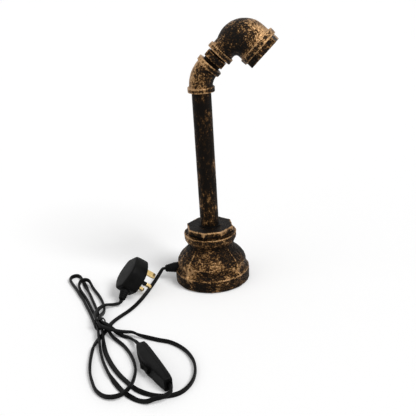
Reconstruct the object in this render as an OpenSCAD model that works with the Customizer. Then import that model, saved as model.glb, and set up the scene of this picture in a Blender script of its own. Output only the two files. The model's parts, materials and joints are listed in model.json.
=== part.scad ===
// Table lamp built from screwed pipe fittings, with its lead, in-line switch and three-pin plug.
// Millimetres. Z is up, the origin is the centre of the foot, the arm leans toward +X.

/* [Base] */
// Thickness of the foam foot under the base
pad_t = 2; // [1:0.5:4]
// Radius of the foam foot
pad_r = 52; // [48:0.5:53]
// Radius of the base's lowest ring
ring_r = 54.7; // [53:0.1:58]
// Height of the base's lowest ring
ring_h = 16.5; // [15:0.5:18]
// Radius of the belly above the ring
belly_r = 50.4; // [49:0.1:52]
// Radius of the waist under the upper bead
waist_r = 34.1; // [33:0.1:36]
// Radius of the upper bead
top_bead_r = 38.1; // [36:0.1:41]
// Height of the upper bead
top_bead_h = 11; // [9:0.5:12]
// Height of the base fitting's top above the table
base_h = 75; // [73:0.5:80]
// Radius of the base's cavity
cavity_r = 44; // [42:0.5:45]
// Radius of the base's upper thread
throat_r = 29.8; // [28:0.1:31]
// Thickness of the steel bottom plate
plate_t = 3; // [2:0.5:5]
// Width of a rib on the base
rib_w = 5; // [3:0.5:8]
// Reach of a rib from the axis
rib_r = 52; // [51.5:0.1:53]

/* [Bush and pipe] */
// Octagon of the bush across its flats
bush_af = 64.5; // [60:0.5:68]
// Height of the bush's octagon
bush_h = 9.8; // [7:0.2:14]
// Black gap under the octagon
bush_gap = 0.6; // [0.4:0.1:1.5]
// Outer diameter of the pipe
pipe_od = 26.9; // [26:0.1:28]
// Wall of the pipe
pipe_wall = 2.65; // [2:0.05:3.2]
// Height of the pipe's top end
pipe_top = 297; // [200:1:360]
// Height of the pipe's lower end
pipe_foot = 62; // [58:1:70]
// Height of the seal round the pipe's foot
seal_h = 1.6; // [1:0.2:3]

/* [45 degree elbow] */
// From the pipe's end to the point where the two axes cross
corner_rise = 7; // [6.6:0.1:9]
// From the crossing of the axes to each end
elbow_ce = 21.4; // [20:0.1:24]
// Radius of the elbow's body
elbow_r = 16.4; // [16.2:0.1:17.2]
// Radius of the elbow's beads
elbow_bead_r = 18.5; // [17.5:0.1:20]
// Width of the elbow's beads
elbow_bead_w = 7.2; // [6:0.1:8]

/* [Nipple] */
// Radius of the small thread
thread_r = 13.2; // [12.8:0.05:13.4]
// Bore of the nipple
nipple_bore_r = 9.5; // [8:0.1:10.5]
// Hexagon of the nipple across its flats
nipple_af = 30; // [28:0.5:34]
// From the crossing of the axes to the hexagon
nipple_hex_s = 26; // [25:0.5:28]
// Width of the hexagon
nipple_hex_w = 9; // [7:0.5:9.5]
// Length of the thread beyond the hexagon
nipple_thread = 17; // [15:0.5:18]

/* [90 degree elbow] */
// From the 45 degree elbow's crossing to the 90 degree elbow's
knee_s = 81; // [80.5:0.5:90]
// From the knee to the small end
small_end = 43.5; // [42:0.5:44.5]
// Radius of the small bead
small_bead_r = 18.5; // [17.8:0.1:19]
// Width of the small bead
small_bead_w = 8; // [7:0.1:8.5]
// From the knee to the mouth's face
mouth_end = 36; // [35.5:0.1:38]
// Radius of the mouth bead
mouth_bead_r = 28.7; // [27.5:0.1:30]
// Width of the mouth bead
mouth_bead_w = 9.3; // [8.5:0.1:10]
// Radius of the mouth's thread
mouth_thread_r = 23.9; // [23.2:0.1:24.2]
// Radius of the round heel of the elbow
heel_r = 38; // [37:0.5:39]

/* [Mouth bush and lampholder] */
// Hexagon of the mouth bush across its flats
mouth_af = 47.4; // [47:0.1:50]
// Height of the hexagon
mouth_hex_h = 9; // [6:0.1:12]
// Outer radius of the lampholder
holder_r = 19.8; // [19:0.1:20.5]
// Radius of the lampholder's thread
socket_r = 13.25; // [13:0.05:13.5]
// Thickness of the threaded shell
shell_t = 0.5; // [0.3:0.1:1]
// Length of the threaded shell
shell_len = 22; // [18:0.5:24]
// Depth of the shell's edge below the rim
shell_drop = 2.7; // [2:0.1:4]

/* [Cord grip and lead] */
// Radius of the grip where it leaves the base
grip_r = 7.5; // [6.5:0.1:8]
// Radius of the grip's tip
grip_tip_r = 5; // [4.2:0.1:6]
// Radius of the grip's screwed spigot
spigot_r = 6; // [5:0.1:6.4]
// Width of the flat twin flex
flex_w = 6; // [5:0.1:6]
// Thickness of the flat twin flex
flex_t = 3.6; // [3:0.1:3.6]
// Sides of the flex's tube
flex_sides = 8; // [6:2:12]

/* [Terminal block] */
// Length of the terminal block
block_l = 30; // [26:1:36]
// Width of the terminal block
block_w = 14; // [12:1:20]
// Height of the terminal block
block_h = 22; // [22:0.5:26]

/* [Tie] */
// Width of the tie's band
tie_w = 5.4; // [4:0.2:7]
// Thickness of the tie's band
tie_t = 1; // [0.8:0.1:1.2]

/* [In-line switch] */
// Length of the switch
switch_l = 90; // [88:1:90]
// Breadth of the switch across its middle
switch_b = 20; // [19:0.5:20]
// Height of its rocker half
switch_top = 12; // [11.5:0.1:12.5]
// Height of its lower half
switch_bottom = 5.8; // [5.6:0.1:6.4]
// Wall of the switch
switch_wall = 2; // [1.5:0.1:2.4]
// Length of the rocker
rocker_l = 17; // [15:0.5:19]
// Breadth of the rocker
rocker_b = 7; // [6:0.5:9]
// Lean of the rocker to each side
rocker_lean = 8; // [5:1:9]

/* [Plug] */
// Length of the live and neutral pins
pin_l = 17.7; // [17:0.1:18.2]
// Width of the live and neutral pins
pin_w = 6.35; // [6:0.05:6.5]
// Thickness of all three pins
pin_t = 4; // [3.8:0.05:4.1]
// Half the distance between the live and neutral pins
pin_half = 11.1; // [11:0.05:11.3]
// Length of the earth pin
earth_l = 22.7; // [22:0.1:23.2]
// Width of the earth pin
earth_w = 8; // [7.8:0.1:8.2]
// From the line of the live and neutral pins to the earth pin
earth_y = 22.2; // [22:0.1:22.4]
// Length of the sleeves on the pins
pin_sleeve_l = 9; // [8:0.1:9.8]
// Length of the fuse carrier
carrier_l = 28; // [27:0.5:30]
// Width of the fuse carrier
carrier_w = 8.8; // [8:0.1:9.4]
// Length of the cable sleeve
sleeve_l = 14; // [12:0.5:14]

/* [Fits] */
// Radial clearance of a running fit
run_gap = 0.05; // [0.02:0.01:0.1]
// Gap between faces that turn past each other
face_gap = 0.3; // [0.2:0.05:0.6]
// Gap round the rocker and the fuse carrier
slot_gap = 0.2; // [0.15:0.05:0.4]

/* [Hidden] */
$fn = 48;

copper = "#8a6242";
black = "#1c1c1c";
brass = "#c8a45a";
steel = "#9a9a98";
white = "#e8e4da";

pipe_r = pipe_od / 2;
corner_z = pipe_top + corner_rise;
belly_z = 35.5;
groove_z = 24.5;
groove_r = belly_r - 0.7;
waist_z = base_h - 18.5;
cavity_z = 33;
throat_z = base_h - 23;
bush_z = base_h + bush_gap;
bush_top = bush_z + bush_h;
bush_foot = 56;
bush_turn = -5;
rib_turn = -44;
rib_z = [18, 34];

grip_in = 7.2;
grip_at = [grip_in - ring_r, 0, 20.5];
grip_tilt = -94.5;
grip_l = 22.9;
spigot_l = 9;
nut_w = 4.4;
nut_af = 16;
wire_hole_r = 3.2;
wire_in = 5;
block_z = pad_t + plate_t;
block_top = block_z + block_h;
screw_r = 2;
screw_at = [9, 4];

elbow_bend_r = (elbow_ce - elbow_bead_w) / tan(22.5);
elbow_bore_r = 12;
lap = 0.4;
flex_bend_r = (corner_rise - face_gap / 2) / tan(22.5);
nipple_end = nipple_hex_s + nipple_hex_w + nipple_thread;
nipple_foot = 8;
nipple_turn = 22;
groove_d = 0.7;
groove_w = 0.9;
grommet_w = 3;

small_s = knee_s - small_end;
neck_r = 16.4;
heel_drop = 19.5;
heel_at = [-12.8, heel_r - heel_drop];
heel_lead = acos((heel_at[1] + neck_r) / heel_r);
crotch_at = [-32, 21.5];
crotch_r = crotch_at[1] - neck_r;
mouth_side = heel_at[0] + heel_r;
small_bore_end = -27;
hollow_at = [-3, 0, 8];
hollow_r = 21.8;
mouth_bore_w = 20;
mouth_hollow_r = 21.5;
mouth_turn = 40;
head_turn = -10;
rim_w = mouth_end + mouth_hex_h;
shell_top = rim_w - shell_drop;
shell_foot = shell_top - shell_len;
chamber_w = shell_foot - 4;
chamber_r = 11;
holder_foot = 10;
cap_t = 3;
cap_r = 16.5;
ring_out_r = 16.6;
knee_bend_r = 7.5;
holder_screw_y = 11;
holder_screw_r = 1.6;

tie_at = [-154.3, -134.1, 0];
tie_turn = -65;
tie_half = 6.9;
tie_in = [1.4, 15.2];
tie_round = 3;

switch_at = [-76, -242.5, 0];
switch_turn = -66;
switch_mid = switch_b / 2;
switch_half = switch_l / 2;
pivot_y = -8;
pivot_r = 1.2;
pocket = [9, 3.2, 4.6];
screw_x = 27;
screw_cover = 5.5;

plug_at = [-110, -44.3, 19.8];
plug_turn = [138, 31, 131];
plug_cap_y = -19;
plug_deep = 24.6;
plug_slope = 0.085;
plug_mid_y = 6;
plug_side = [[-19, 9.5], [-17, 13], [-13, 16.8], [-7, 21], [0, 25], [6, 25.5],
  [12, 25], [18, 22.5], [25, 18.5], [30, 14.5], [32, 12]];
plug_layers = [[0, 0.97], [0.05, 1], [0.5, 1], [0.87, 0.985], [0.96, 0.95], [1, 0.88]];
pin_in = 8;
pin_skin = 0.4;
carrier_y = 9;
carrier_d = 10;
fuse_r = 3.15;
fuse_l = 25.4;
exit_z = -13;
sleeve_r = 6.8;
sleeve_tip_r = 4.6;
sleeve_in = 5;

// Lead, point by point: x, y, z of the middle and the turn of its flat side (90 stands on edge)
lamp_route = [[-70.3, 0, 18.7, 0], [-74.3, 0, 18.4, 0], [-79, -4, 13.5, 0], [-84.5, -11, 7.6, 0],
  [-89.5, -19.5, 4, 0], [-94, -30, 2, 0], [-99, -46, 1.9, 0], [-105, -63, 1.9, 0], [-112, -79, 1.9, 0],
  [-120, -93, 1.9, 0], [-129, -105, 1.9, 0], [-136.5, -116, 1.9, 0], [-140.5, -124, 1.9, 0],
  [-143, -133, 1.9, 0], [-146, -142, 1.9, 0], [-149.5, -152, 1.9, 0], [-153, -163, 2, 0],
  [-156, -174, 2.5, 30], [-157.5, -188, 3.2, 90], [-157.5, -205, 3.1, 90], [-156.5, -223, 3.1, 90],
  [-154, -241, 3.1, 90], [-149.5, -258, 3.1, 90], [-143, -275.5, 3.1, 90], [-132.5, -289, 4, 90],
  [-120.5, -295, 6.4, 90], [-109.5, -291.5, 7.7, 90], [-102, -277.5, 7.8, 90], [-99.3, -258.5, 6.4, 90],
  [-100, -237, 3.4, 90], [-104, -218, 3.1, 90], [-110, -201, 3.1, 90], [-118, -185, 3.1, 90],
  [-127, -172, 3.1, 90], [-134.5, -162, 3.8, 90], [-140, -152, 5.6, 90], [-145.3, -141.8, 7.8, 90],
  [-150, -132, 5.2, 90], [-153.6, -124, 4.6, 90], [-157.6, -113, 3.3, 90], [-161, -100, 3.1, 90],
  [-165.2, -85, 3.1, 90], [-170, -70, 3.1, 90], [-175, -55, 3.1, 90], [-180, -40, 3.1, 90],
  [-185.5, -25, 2.8, 50], [-190, -12, 1.9, 0], [-194, -1, 1.9, 0], [-197.5, 9, 2.8, 50],
  [-202, 19, 3.1, 90], [-208, 25.5, 3.1, 90], [-215, 23.5, 3.1, 90], [-217.5, 15, 3.1, 90],
  [-214.5, 5, 3.1, 90], [-209, -7, 3.1, 90], [-202, -22, 3.1, 90], [-195.2, -38, 3.1, 90],
  [-188.6, -52.5, 3.1, 90], [-182.6, -68.5, 3.1, 90], [-176.8, -84, 3.1, 90], [-171, -100, 3.1, 90],
  [-166.3, -115, 3.3, 90], [-162.2, -128, 4.6, 90], [-158.2, -136, 4.9, 90], [-155.6, -146, 6.6, 90],
  [-153.6, -157, 7.4, 90], [-151.8, -168, 7.4, 90], [-149.5, -180, 5.6, 90], [-146.8, -195, 3.4, 90],
  [-142.5, -212, 3.1, 90], [-137, -229, 3.1, 90], [-130, -247, 3.1, 90], [-121.5, -264, 2.7, 40],
  [-112, -279, 1.9, 0], [-102, -291.5, 2.7, 40], [-92, -300.5, 3.2, 90], [-82, -305.5, 5, 90],
  [-74, -306.5, 8.4, 90], [-66, -306, 9.8, 90], [-59, -302, 10, 90], [-55.2, -296, 10, 90],
  [-55.4, -289.1, 10, 90], [-57.7, -283.6, 10, 90]];
plug_route = [[-94.3, -201.4, 10, 90], [-96.5, -196.4, 10, 90], [-101.5, -186.5, 8.6, 80],
  [-106.5, -175, 5, 50], [-113, -165, 2.8, 20], [-121, -158.5, 2, 0], [-128.5, -154.5, 4.4, 0],
  [-135.5, -150.5, 9, 0], [-142.5, -146, 13.2, 10], [-148, -140.5, 14, 40], [-152, -133, 11.6, 90],
  [-155, -125, 11.4, 90], [-155.3, -115, 10.2, 90], [-153.8, -104, 7, 90], [-153.8, -92, 4, 90],
  [-155.5, -79, 3.1, 90], [-160, -62, 3.1, 90], [-166, -46, 3.1, 90], [-173, -31, 3.1, 90],
  [-179, -18, 3.4, 90], [-183, -9, 5.6, 90], [-187, -2, 7.5, 90], [-193, 1, 7.6, 90],
  [-198.5, -2.5, 7.5, 90], [-200, -11, 5.8, 90], [-197.5, -21, 3.6, 90], [-192.5, -33, 3.1, 90],
  [-187.2, -44, 3.1, 90], [-182.6, -55, 3.1, 90], [-177, -70, 3.1, 90], [-171.2, -86, 3.1, 90],
  [-165.8, -101, 3.1, 90], [-161.6, -116, 3.4, 90], [-158, -126, 4.7, 90], [-154.2, -134, 4.9, 90],
  [-151.2, -143, 7, 90], [-148.8, -153, 7.4, 90], [-146.8, -164, 5.8, 80], [-145, -176, 3.4, 50],
  [-141.5, -192, 2, 0], [-135.5, -210, 1.9, 0], [-127.5, -229, 1.9, 0], [-118, -247, 1.9, 0],
  [-108, -262, 1.9, 0], [-98.5, -275, 2, 10], [-88.5, -285, 2.9, 60], [-78.5, -291, 3.1, 90],
  [-68.5, -294.5, 3.1, 85], [-58, -295, 3.1, 90], [-47, -291.5, 3.1, 90], [-38, -282.5, 3.1, 90],
  [-31, -268, 3.1, 90], [-28, -249, 3.1, 90], [-30, -228, 3.1, 90], [-37, -209, 3.1, 90],
  [-47, -194, 3.1, 90], [-60, -182, 3.1, 90], [-74, -175.5, 3.1, 90], [-88, -168.5, 3.4, 90],
  [-100, -163.5, 5, 60], [-109, -159, 7.2, 20], [-117, -158.5, 8, 0], [-125, -158, 9, 0],
  [-133, -157, 10.8, 0], [-141, -155.5, 13, 0], [-148, -151.5, 14, 10], [-153, -144.5, 13.8, 40],
  [-156, -136, 12, 90], [-160, -127, 11.4, 90], [-162, -117, 10.6, 60], [-162.7, -107, 9.6, 10],
  [-161.5, -97.5, 9, 0], [-158.3, -90, 9, 0], [-152.8, -84, 8.8, 0], [-147.5, -78.3, 6, 0],
  [-142.5, -75, 4, 0], [-138, -73.8, 3.9, 0], [-134.6, -74.6, 5, 0], [-132.2, -73.9, 6.85, 0],
  [-130.9, -70.9, 9.15, 0]];
lead_end = 10;
hank_end = 71;
near_len = 16;
gap_steps = 3;

function unit(v) = v / norm(v);
function at(p) = [p[0], p[1], p[2]];
function heading(r, i) = unit(at(r[min(i + 1, len(r) - 1)]) - at(r[max(i - 1, 0)]));
function wide(r, i) = let (t = heading(r, i), s = unit(cross([0, 0, 1], t)), u = cross(t, s))
  s * cos(r[i][3]) + u * sin(r[i][3]);
function thin(r, i) = cross(heading(r, i), wide(r, i));
function turn(j) = 360 * j / flex_sides;
function ring(r, i) = [for (j = [0 : flex_sides - 1]) at(r[i])
  + wide(r, i) * flex_w / 2 * cos(turn(j)) + thin(r, i) * flex_t / 2 * sin(turn(j))];
function length_to(r, i) = i == 0 ? 0 : length_to(r, i - 1) + norm(at(r[i]) - at(r[i - 1]));
function blend(a, b, f) = a * (1 - f) + b * f;
function samples(r) = [for (i = [0 : len(r) - 2]) for (k = [0 : gap_steps - 1]) let (f = k / gap_steps)
  [blend(at(r[i]), at(r[i + 1]), f), blend(wide(r, i), wide(r, i + 1), f),
   blend(thin(r, i), thin(r, i + 1), f), length_to(r, i) + f * norm(at(r[i + 1]) - at(r[i]))]];
function reach(s, u) = norm([flex_w / 2 * s[1] * u, flex_t / 2 * s[2] * u]);
function gap_of(a, b) = let (d = b[0] - a[0], u = unit(d)) norm(d) - reach(a, u) - reach(b, u);
function least_own(s) = min([for (i = [0 : len(s) - 1]) for (j = [i + 1 : 1 : len(s) - 1])
  if (s[j][3] - s[i][3] > near_len && norm(s[j][0] - s[i][0]) < near_len) gap_of(s[i], s[j])]);
function least_two(a, b) = min([for (p = a) for (q = b)
  if (norm(p[0] - q[0]) < near_len) gap_of(p, q)]);

// Flat flex swept along the points of route r from number a to number b
module tube(r, a, b) {
  n = flex_sides;
  last = (b - a) * n;
  rings = [for (i = [a : b]) each ring(r, i)];
  sides = [for (i = [0 : b - a - 1]) for (j = [0 : n - 1])
    let (p = i * n + j, q = i * n + (j + 1) % n) each [[p, p + n, q + n], [p, q + n, q]]];
  start = [for (j = [1 : n - 2]) [0, j, j + 1]];
  finish = [for (j = [1 : n - 2]) [last, last + j + 1, last + j]];
  polyhedron(rings, concat(start, sides, finish), convexity = 20);
}
module flex_section() {
  translate([flex_t / 2 - flex_w / 2, 0]) circle(flex_t / 2);
  translate([flex_w / 2 - flex_t / 2, 0]) circle(flex_t / 2);
  square([flex_w - flex_t, flex_t], center = true);
}
module flex_run(length) {
  linear_extrude(length) flex_section();
}
module hexagon(across, height) {
  cylinder(r = across / 2 / cos(30), h = height, $fn = 6);
}
module arm_frame() {
  translate([0, 0, corner_z]) rotate([0, 45, 0]) children();
}
module head_frame() {
  arm_frame() rotate([0, 0, head_turn]) translate([0, 0, knee_s]) rotate([180, -90, 0]) children();
}
module grip_frame() {
  translate(grip_at) rotate([0, grip_tilt, 0]) children();
}
module tie_frame() {
  translate(tie_at) rotate([0, 0, tie_turn]) children();
}
module switch_frame() {
  translate(switch_at) rotate([0, 0, switch_turn]) children();
}
module plug_frame() {
  translate(plug_at) rotate(plug_turn) children();
}
// Bead at the end of a fitting: a drum with eased edges
module bead(radius, width) {
  ease = 1;
  rotate_extrude() polygon([[0, 0], [radius - ease, 0], [radius, ease], [radius, width - ease],
    [radius - ease, width], [0, width]]);
}

module foot_pad() {
  color(black) cylinder(r = pad_r, h = pad_t);
}
module base_plate() {
  color(steel) translate([0, 0, pad_t]) cylinder(r = cavity_r - run_gap, h = plate_t);
}
module base_reducer() {
  foot = pad_t + ring_h;
  drop = waist_z - belly_z;
  belly_edge = belly_r - 1.4;
  shoulder = [for (k = [0 : 6]) let (t = k / 6)
    [belly_edge - (belly_edge - waist_r) * (t - 0.05 * sin(360 * t)), belly_z + drop * t]];
  bead_z = base_h - top_bead_h;
  color(copper) difference() {
    union() {
      rotate_extrude() polygon(concat([[0, pad_t], [ring_r - 1, pad_t], [ring_r, pad_t + 1],
        [ring_r, foot], [ring_r - 1.2, foot + 1.3], [ring_r - 3.3, foot + 3.4], [groove_r, groove_z],
        [belly_r - 0.2, groove_z + 2.5], [belly_r, belly_z - 5], [belly_r - 0.2, belly_z - 2.5]],
        shoulder, [[waist_r + 1.4, waist_z + 3], [top_bead_r - 0.6, bead_z - 1.5], [top_bead_r, bead_z],
        [top_bead_r, base_h - 0.8], [top_bead_r - 0.7, base_h], [0, base_h]]));
      for (k = [0 : 3]) rotate([0, 0, rib_turn + 90 * k])
        translate([cavity_r + 1, -rib_w / 2, rib_z[0]])
        cube([rib_r - cavity_r - 1, rib_w, rib_z[1] - rib_z[0]]);
    }
    translate([0, 0, -1]) cylinder(r = cavity_r, h = cavity_z + 1);
    translate([0, 0, cavity_z]) cylinder(r1 = cavity_r, r2 = throat_r + 1.2, h = throat_z - cavity_z);
    translate([0, 0, cavity_z]) cylinder(r = throat_r, h = base_h);
    grip_frame() translate([0, 0, -spigot_l]) cylinder(r = spigot_r + run_gap, h = spigot_l + 1);
    grip_frame() cylinder(r = grip_r + run_gap, h = grip_l);
  }
}
module base_bush() {
  color(copper) difference() {
    union() {
      translate([0, 0, bush_foot]) cylinder(r = throat_r - run_gap, h = bush_z - bush_foot);
      translate([0, 0, base_h]) cylinder(r = throat_r + 2, h = bush_gap);
      intersection() {
        translate([0, 0, bush_z]) rotate([0, 0, bush_turn])
          cylinder(r = bush_af / 2 / cos(22.5), h = bush_h, $fn = 8);
        translate([0, 0, bush_z]) cylinder(r1 = bush_af / 2 + 3, r2 = bush_af / 2 + 1, h = bush_h);
      }
    }
    translate([0, 0, pipe_foot]) cylinder(r = pipe_r, h = bush_top);
    translate([0, 0, bush_foot - 1]) cylinder(r = pipe_r - pipe_wall, h = bush_top);
  }
}
module pipe_seal() {
  color(black) translate([0, 0, bush_top]) difference() {
    cylinder(r = pipe_r + 2, h = seal_h);
    translate([0, 0, -1]) cylinder(r = pipe_r + run_gap, h = seal_h + 2);
  }
}
module stem_pipe() {
  color(copper) difference() {
    translate([0, 0, pipe_foot]) cylinder(r = pipe_r, h = pipe_top - pipe_foot);
    translate([0, 0, pipe_foot - 1]) cylinder(r = pipe_r - pipe_wall, h = pipe_top);
  }
}
module cord_grip() {
  color(black) grip_frame() {
    translate([0, 0, -spigot_l]) cylinder(r = spigot_r, h = spigot_l);
    cylinder(r = grip_r, h = grip_l / 2);
    translate([0, 0, grip_l / 2]) cylinder(r1 = grip_r, r2 = grip_tip_r, h = grip_l / 2);
  }
}
module grip_nut() {
  color(black) grip_frame() translate([0, 0, -spigot_l]) difference() {
    hexagon(nut_af, nut_w);
    translate([0, 0, -1]) cylinder(r = spigot_r + run_gap, h = nut_w + 2);
  }
}
module base_flex() {
  run = (-grip_at[0] - block_l / 2) - spigot_l + wire_in;
  color(black) grip_frame() translate([0, 0, -spigot_l - run]) flex_run(run);
}
module terminal_block() {
  color(white) difference() {
    translate([-block_l / 2, -block_w / 2, block_z]) cube([block_l, block_w, block_h]);
    grip_frame() translate([0, 0, -grip_l - 20]) cylinder(r = wire_hole_r, h = grip_l);
    translate([0, 0, block_top - wire_in]) cylinder(r = wire_hole_r, h = wire_in + 1);
    for (sx = [-1, 1]) for (sy = [-1, 1])
      translate([sx * screw_at[0], sy * screw_at[1], block_top - 6]) cylinder(r = screw_r + run_gap, h = 7);
  }
}
module terminal_screws() {
  color(brass) for (sx = [-1, 1]) for (sy = [-1, 1])
    translate([sx * screw_at[0], sy * screw_at[1], block_top - 6]) cylinder(r = screw_r, h = 5);
}
module stem_flex() {
  foot = block_top - wire_in;
  color(black) translate([0, 0, foot]) flex_run(pipe_top - face_gap / 2 - foot);
}

module elbow_45() {
  straight = elbow_ce - elbow_bead_w;
  color(copper) difference() {
    union() {
      translate([0, 0, corner_z - elbow_ce]) bead(elbow_bead_r, elbow_bead_w + lap);
      arm_frame() translate([0, 0, straight - lap]) bead(elbow_bead_r, elbow_bead_w + lap);
      translate([elbow_bend_r, 0, corner_z - straight]) rotate([90, 0, 0]) rotate([0, 0, 135])
        rotate_extrude(angle = 45) translate([elbow_bend_r, 0]) circle(elbow_r);
    }
    translate([elbow_bend_r, 0, corner_z - straight]) rotate([90, 0, 0]) rotate([0, 0, 135])
      rotate_extrude(angle = 45) translate([elbow_bend_r, 0]) circle(elbow_bore_r);
    translate([0, 0, corner_z - elbow_ce - 1])
      cylinder(r = pipe_r + run_gap, h = elbow_ce + 1 - corner_rise + face_gap);
    arm_frame() translate([0, 0, nipple_foot]) cylinder(r = thread_r, h = elbow_ce);
  }
}
module hex_nipple() {
  color(copper) arm_frame() difference() {
    union() {
      translate([0, 0, nipple_foot]) cylinder(r = thread_r, h = nipple_end - nipple_foot);
      translate([0, 0, nipple_hex_s]) rotate([0, 0, nipple_turn]) hexagon(nipple_af, nipple_hex_w);
    }
    translate([0, 0, nipple_foot - 1]) cylinder(r = nipple_bore_r, h = nipple_end);
    for (s = [nipple_hex_s - 3.6, nipple_hex_s - 1.8, nipple_hex_s + nipple_hex_w + 1.2])
      translate([0, 0, s]) difference() {
        cylinder(r = nipple_af, h = groove_w);
        translate([0, 0, -1]) cylinder(r = thread_r - groove_d, h = groove_w + 2);
      }
  }
}
module nipple_grommet() {
  color(black) arm_frame() translate([0, 0, nipple_foot + 1]) linear_extrude(grommet_w) difference() {
    circle(nipple_bore_r);
    rotate([0, 0, 90]) flex_section();
  }
}
module elbow_flex() {
  start = corner_rise - face_gap / 2;
  color(black) {
    translate([flex_bend_r, 0, corner_z - start]) rotate([90, 0, 0]) rotate([0, 0, 135])
      rotate_extrude(angle = 45) translate([flex_bend_r, 0]) rotate([0, 0, 90]) flex_section();
  }
}
module nipple_flex() {
  start = corner_rise - face_gap / 2;
  color(black) arm_frame() translate([0, 0, start]) rotate([0, 0, 90])
    flex_run(nipple_end - face_gap / 2 - start);
}

// Outer and inner ends of the elbow's cross sections, along its length and toward its mouth
heel_turns = 8;
heel_out = concat([[-small_end + 6, -neck_r]],
  [for (k = [0 : heel_turns]) let (a = -heel_lead + (90 + heel_lead) * k / heel_turns)
    heel_at + heel_r * [sin(a), -cos(a)]], [[mouth_side, mouth_end - mouth_bead_w]]);
heel_in = concat([[-small_end + 6, neck_r]],
  [for (k = [0 : heel_turns]) let (a = 90 * k / heel_turns) crotch_at + crotch_r * [sin(a), -cos(a)]],
  [[crotch_at[0] + crotch_r, mouth_end - mouth_bead_w]]);
module heel_loft() {
  n = 32;
  rows = len(heel_out);
  pts = [for (i = [0 : rows - 1]) let (m = (heel_out[i] + heel_in[i]) / 2, e = (heel_out[i] - heel_in[i]) / 2)
    for (j = [0 : n - 1]) let (c = cos(360 * j / n), s = sin(360 * j / n))
    [m[0] + e[0] * c, norm(e) * s, m[1] + e[1] * c]];
  last = (rows - 1) * n;
  sides = [for (i = [0 : rows - 2]) for (j = [0 : n - 1])
    let (p = i * n + j, q = i * n + (j + 1) % n) each [[p, p + n, q + n], [p, q + n, q]]];
  start = [for (j = [1 : n - 2]) [0, j, j + 1]];
  finish = [for (j = [1 : n - 2]) [last, last + j + 1, last + j]];
  polyhedron(pts, concat(start, sides, finish), convexity = 8);
}
module elbow_90() {
  color(copper) head_frame() difference() {
    union() {
      heel_loft();
      translate([-small_end, 0, 0]) rotate([0, 90, 0]) bead(small_bead_r, small_bead_w);
      translate([0, 0, mouth_end - mouth_bead_w]) bead(mouth_bead_r, mouth_bead_w);
    }
    translate([-small_end - 1, 0, 0]) rotate([0, 90, 0])
      cylinder(r = thread_r + run_gap, h = small_end + 1 + small_bore_end);
    translate([small_bore_end - 1, 0, 0]) rotate([0, 90, 0]) cylinder(r = elbow_bore_r, h = 1 - small_bore_end);
    translate(hollow_at) sphere(hollow_r);
    translate([0, 0, hollow_at[2]]) cylinder(r = mouth_hollow_r, h = mouth_end);
    translate([0, 0, mouth_bore_w]) cylinder(r = mouth_thread_r, h = mouth_end);
  }
}
module mouth_bush() {
  color(copper) head_frame() difference() {
    union() {
      translate([0, 0, mouth_bore_w]) cylinder(r = mouth_thread_r - run_gap, h = mouth_end - mouth_bore_w);
      translate([0, 0, mouth_end]) rotate([0, 0, mouth_turn]) hexagon(mouth_af, mouth_hex_h);
    }
    translate([0, 0, mouth_bore_w - 1]) cylinder(r = holder_r, h = mouth_end);
  }
}
module lampholder_body() {
  color(white) head_frame() difference() {
    translate([0, 0, holder_foot]) cylinder(r = holder_r, h = rim_w - holder_foot);
    translate([0, 0, chamber_w]) cylinder(r = chamber_r, h = rim_w);
    translate([0, 0, shell_foot]) cylinder(r = socket_r + shell_t, h = rim_w);
    translate([0, 0, shell_top]) cylinder(r = ring_out_r, h = rim_w);
    translate([-2.6, 8, chamber_w]) cube([5.2, socket_r + shell_t - 8.2, 4]);
    for (s = [-1, 1]) translate([0, s * holder_screw_y, holder_foot - 1])
      cylinder(r = holder_screw_r + run_gap, h = 8);
  }
}
module lampholder_shell() {
  color(brass) head_frame() translate([0, 0, shell_foot]) difference() {
    cylinder(r = socket_r + shell_t, h = shell_len);
    translate([0, 0, -1]) cylinder(r = socket_r, h = shell_len + 2);
  }
}
module lampholder_ring() {
  color(black) head_frame() translate([0, 0, shell_top]) difference() {
    cylinder(r = ring_out_r - run_gap, h = shell_drop - 0.5);
    translate([0, 0, -1]) cylinder(r = socket_r + 0.2, h = shell_drop + 1);
  }
}
module centre_contact() {
  color(brass) head_frame() translate([0, 0, chamber_w]) {
    translate([-7, -2.5, 0]) cube([14, 5, 1]);
    cylinder(r = 3, h = 3);
  }
}
module side_contact() {
  color(brass) head_frame() translate([0, 0, chamber_w]) rotate([0, 0, 90]) {
    translate([8, -2.5, 0]) cube([1, 5, 3]);
    translate([8, -2.5, 3]) cube([socket_r + shell_t - 8.3, 5, 1]);
  }
}
module lampholder_cap() {
  color(white) head_frame() translate([0, 0, holder_foot - cap_t]) difference() {
    cylinder(r1 = cap_r - 2, r2 = cap_r, h = cap_t);
    translate([0, 0, -1]) cylinder(r = wire_hole_r, h = cap_t + 2);
    for (s = [-1, 1]) translate([0, s * holder_screw_y, -1]) cylinder(r = holder_screw_r + run_gap, h = cap_t + 2);
  }
}
module holder_screws() {
  color(brass) head_frame() for (s = [-1, 1]) translate([0, s * holder_screw_y, holder_foot - cap_t]) {
    cylinder(r = holder_screw_r, h = cap_t + 6);
    translate([0, 0, -1.4]) cylinder(r = holder_screw_r + 1.2, h = 1.4);
  }
}
module head_flex() {
  start = small_s - knee_s + nipple_end - small_s + face_gap / 2;
  color(black) head_frame() {
    translate([start, 0, 0]) rotate([0, 90, 0]) rotate([0, 0, 90]) flex_run(-knee_bend_r - start);
    translate([-knee_bend_r, 0, knee_bend_r]) rotate([90, 0, 0]) rotate([0, 0, -90])
      rotate_extrude(angle = 90) translate([knee_bend_r, 0]) rotate([0, 0, 90]) flex_section();
    translate([0, 0, knee_bend_r]) rotate([0, 0, 90]) flex_run(holder_foot - knee_bend_r);
  }
}

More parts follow.
